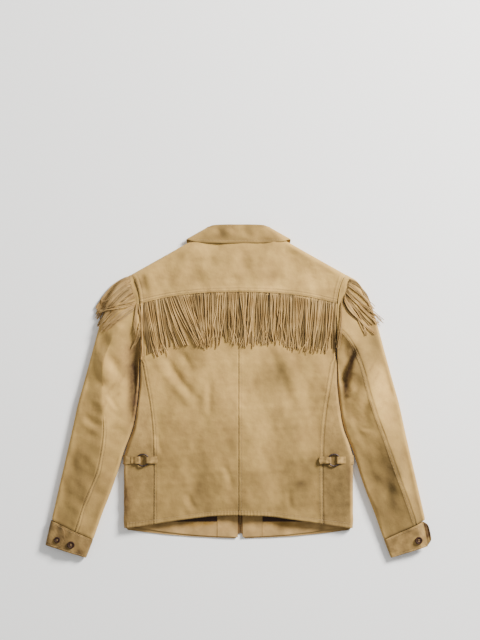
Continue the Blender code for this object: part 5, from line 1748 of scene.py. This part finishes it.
# The zip's teeth: lowest and highest, step, distance off the middle, height and half size
zipTeeth = {"low": -321.0, "high": 228.0, "pitch": 1.25, "offset": 0.9, "rise": 1.6,
            "halfSize": (1.6, 0.5, 0.8)}


# Zip teeth along the closure, the slider and its pull
def makeZip():
    y = np.arange(zipTeeth["low"], zipTeeth["high"], zipTeeth["pitch"])
    handed = np.where(np.arange(len(y)) % 2 == 0, -1.0, 1.0)
    x, z = closureX(y) + handed * zipTeeth["offset"], frontHeight(0 * y, y) + zipTeeth["rise"]
    centre = np.stack([x, y, z], axis=-1)
    wide, deep, tall = zipTeeth["halfSize"]
    corners = np.array([(a, b, c) for a in (-wide, wide) for b in (-deep, deep) for c in (-tall, tall)])
    faces = np.array([(0, 1, 3, 2), (4, 6, 7, 5), (0, 4, 5, 1), (2, 3, 7, 6), (0, 2, 6, 4), (1, 5, 7, 3)])
    points = (centre[:, None] + corners[None]).reshape(-1, 3)
    faces = (faces[None] + (np.arange(len(y)) * 8)[:, None, None]).reshape(-1, 4)
    mesh = meshFrom("zipTeeth", points, faces)
    mesh.polygons.foreach_set("use_smooth", np.zeros(len(mesh.polygons), bool))
    mesh.materials.append(brass)
    showPiece("zipTeeth", mesh)
    for node in ("zip_slider", "zip_pull"):
        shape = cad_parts[node].data
        shape.materials.clear()
        shape.materials.append(brass)


makeZip()
print("buttons and zip made")


# Each lamp's name, place, aim, size, power and colour
lamps = [
    ("keyLight", (2.7, 2.2, 2.1), (0, 0.1, 0), 1.1, 520.0, (1.0, 0.98, 0.95)),
    ("fillLight", (-2.2, 0.4, 2.4), (0, 0, 0), 2.4, 10.0, (0.95, 0.98, 1.0)),
]


# Plain floor and soft light
def makeStage():
    half = 4000
    corners = [(-half, -half, 0), (half, -half, 0), (half, half, 0), (-half, half, 0)]
    floor = linked("floor", meshFrom("floor", corners, [(0, 1, 2, 3)]))
    floor.location = (0, 0, -0.0006)
    floor.data.materials.append(Graph("floorPaint").finish(paint(250, 250, 249), 0.9))
    world = bpy.data.worlds.new("softLight")
    bpy.context.scene.world = world
    world.use_nodes = True
    world.node_tree.nodes["Background"].inputs["Color"].default_value = (1.0, 0.99, 0.97, 1)
    world.node_tree.nodes["Background"].inputs["Strength"].default_value = 0.55
    for name, place, aim, size, power, colour in lamps:
        data = bpy.data.lights.new(name, "AREA")
        data.size, data.energy, data.color = size, power, colour
        lamp = linked(name, data)
        lamp.location = place
        towards = np.array(aim) - np.array(place)
        lamp.rotation_euler = (math.acos(-towards[2] / np.linalg.norm(towards)), 0,
                               math.atan2(towards[1], towards[0]) - math.pi / 2)


makeStage()
cameraData = bpy.data.cameras.new("camera")
cameraData.lens = 112.5
camera = linked("camera", cameraData)
camera.location = (0.0034, 0.1598, 4.515)
bpy.context.scene.camera = camera
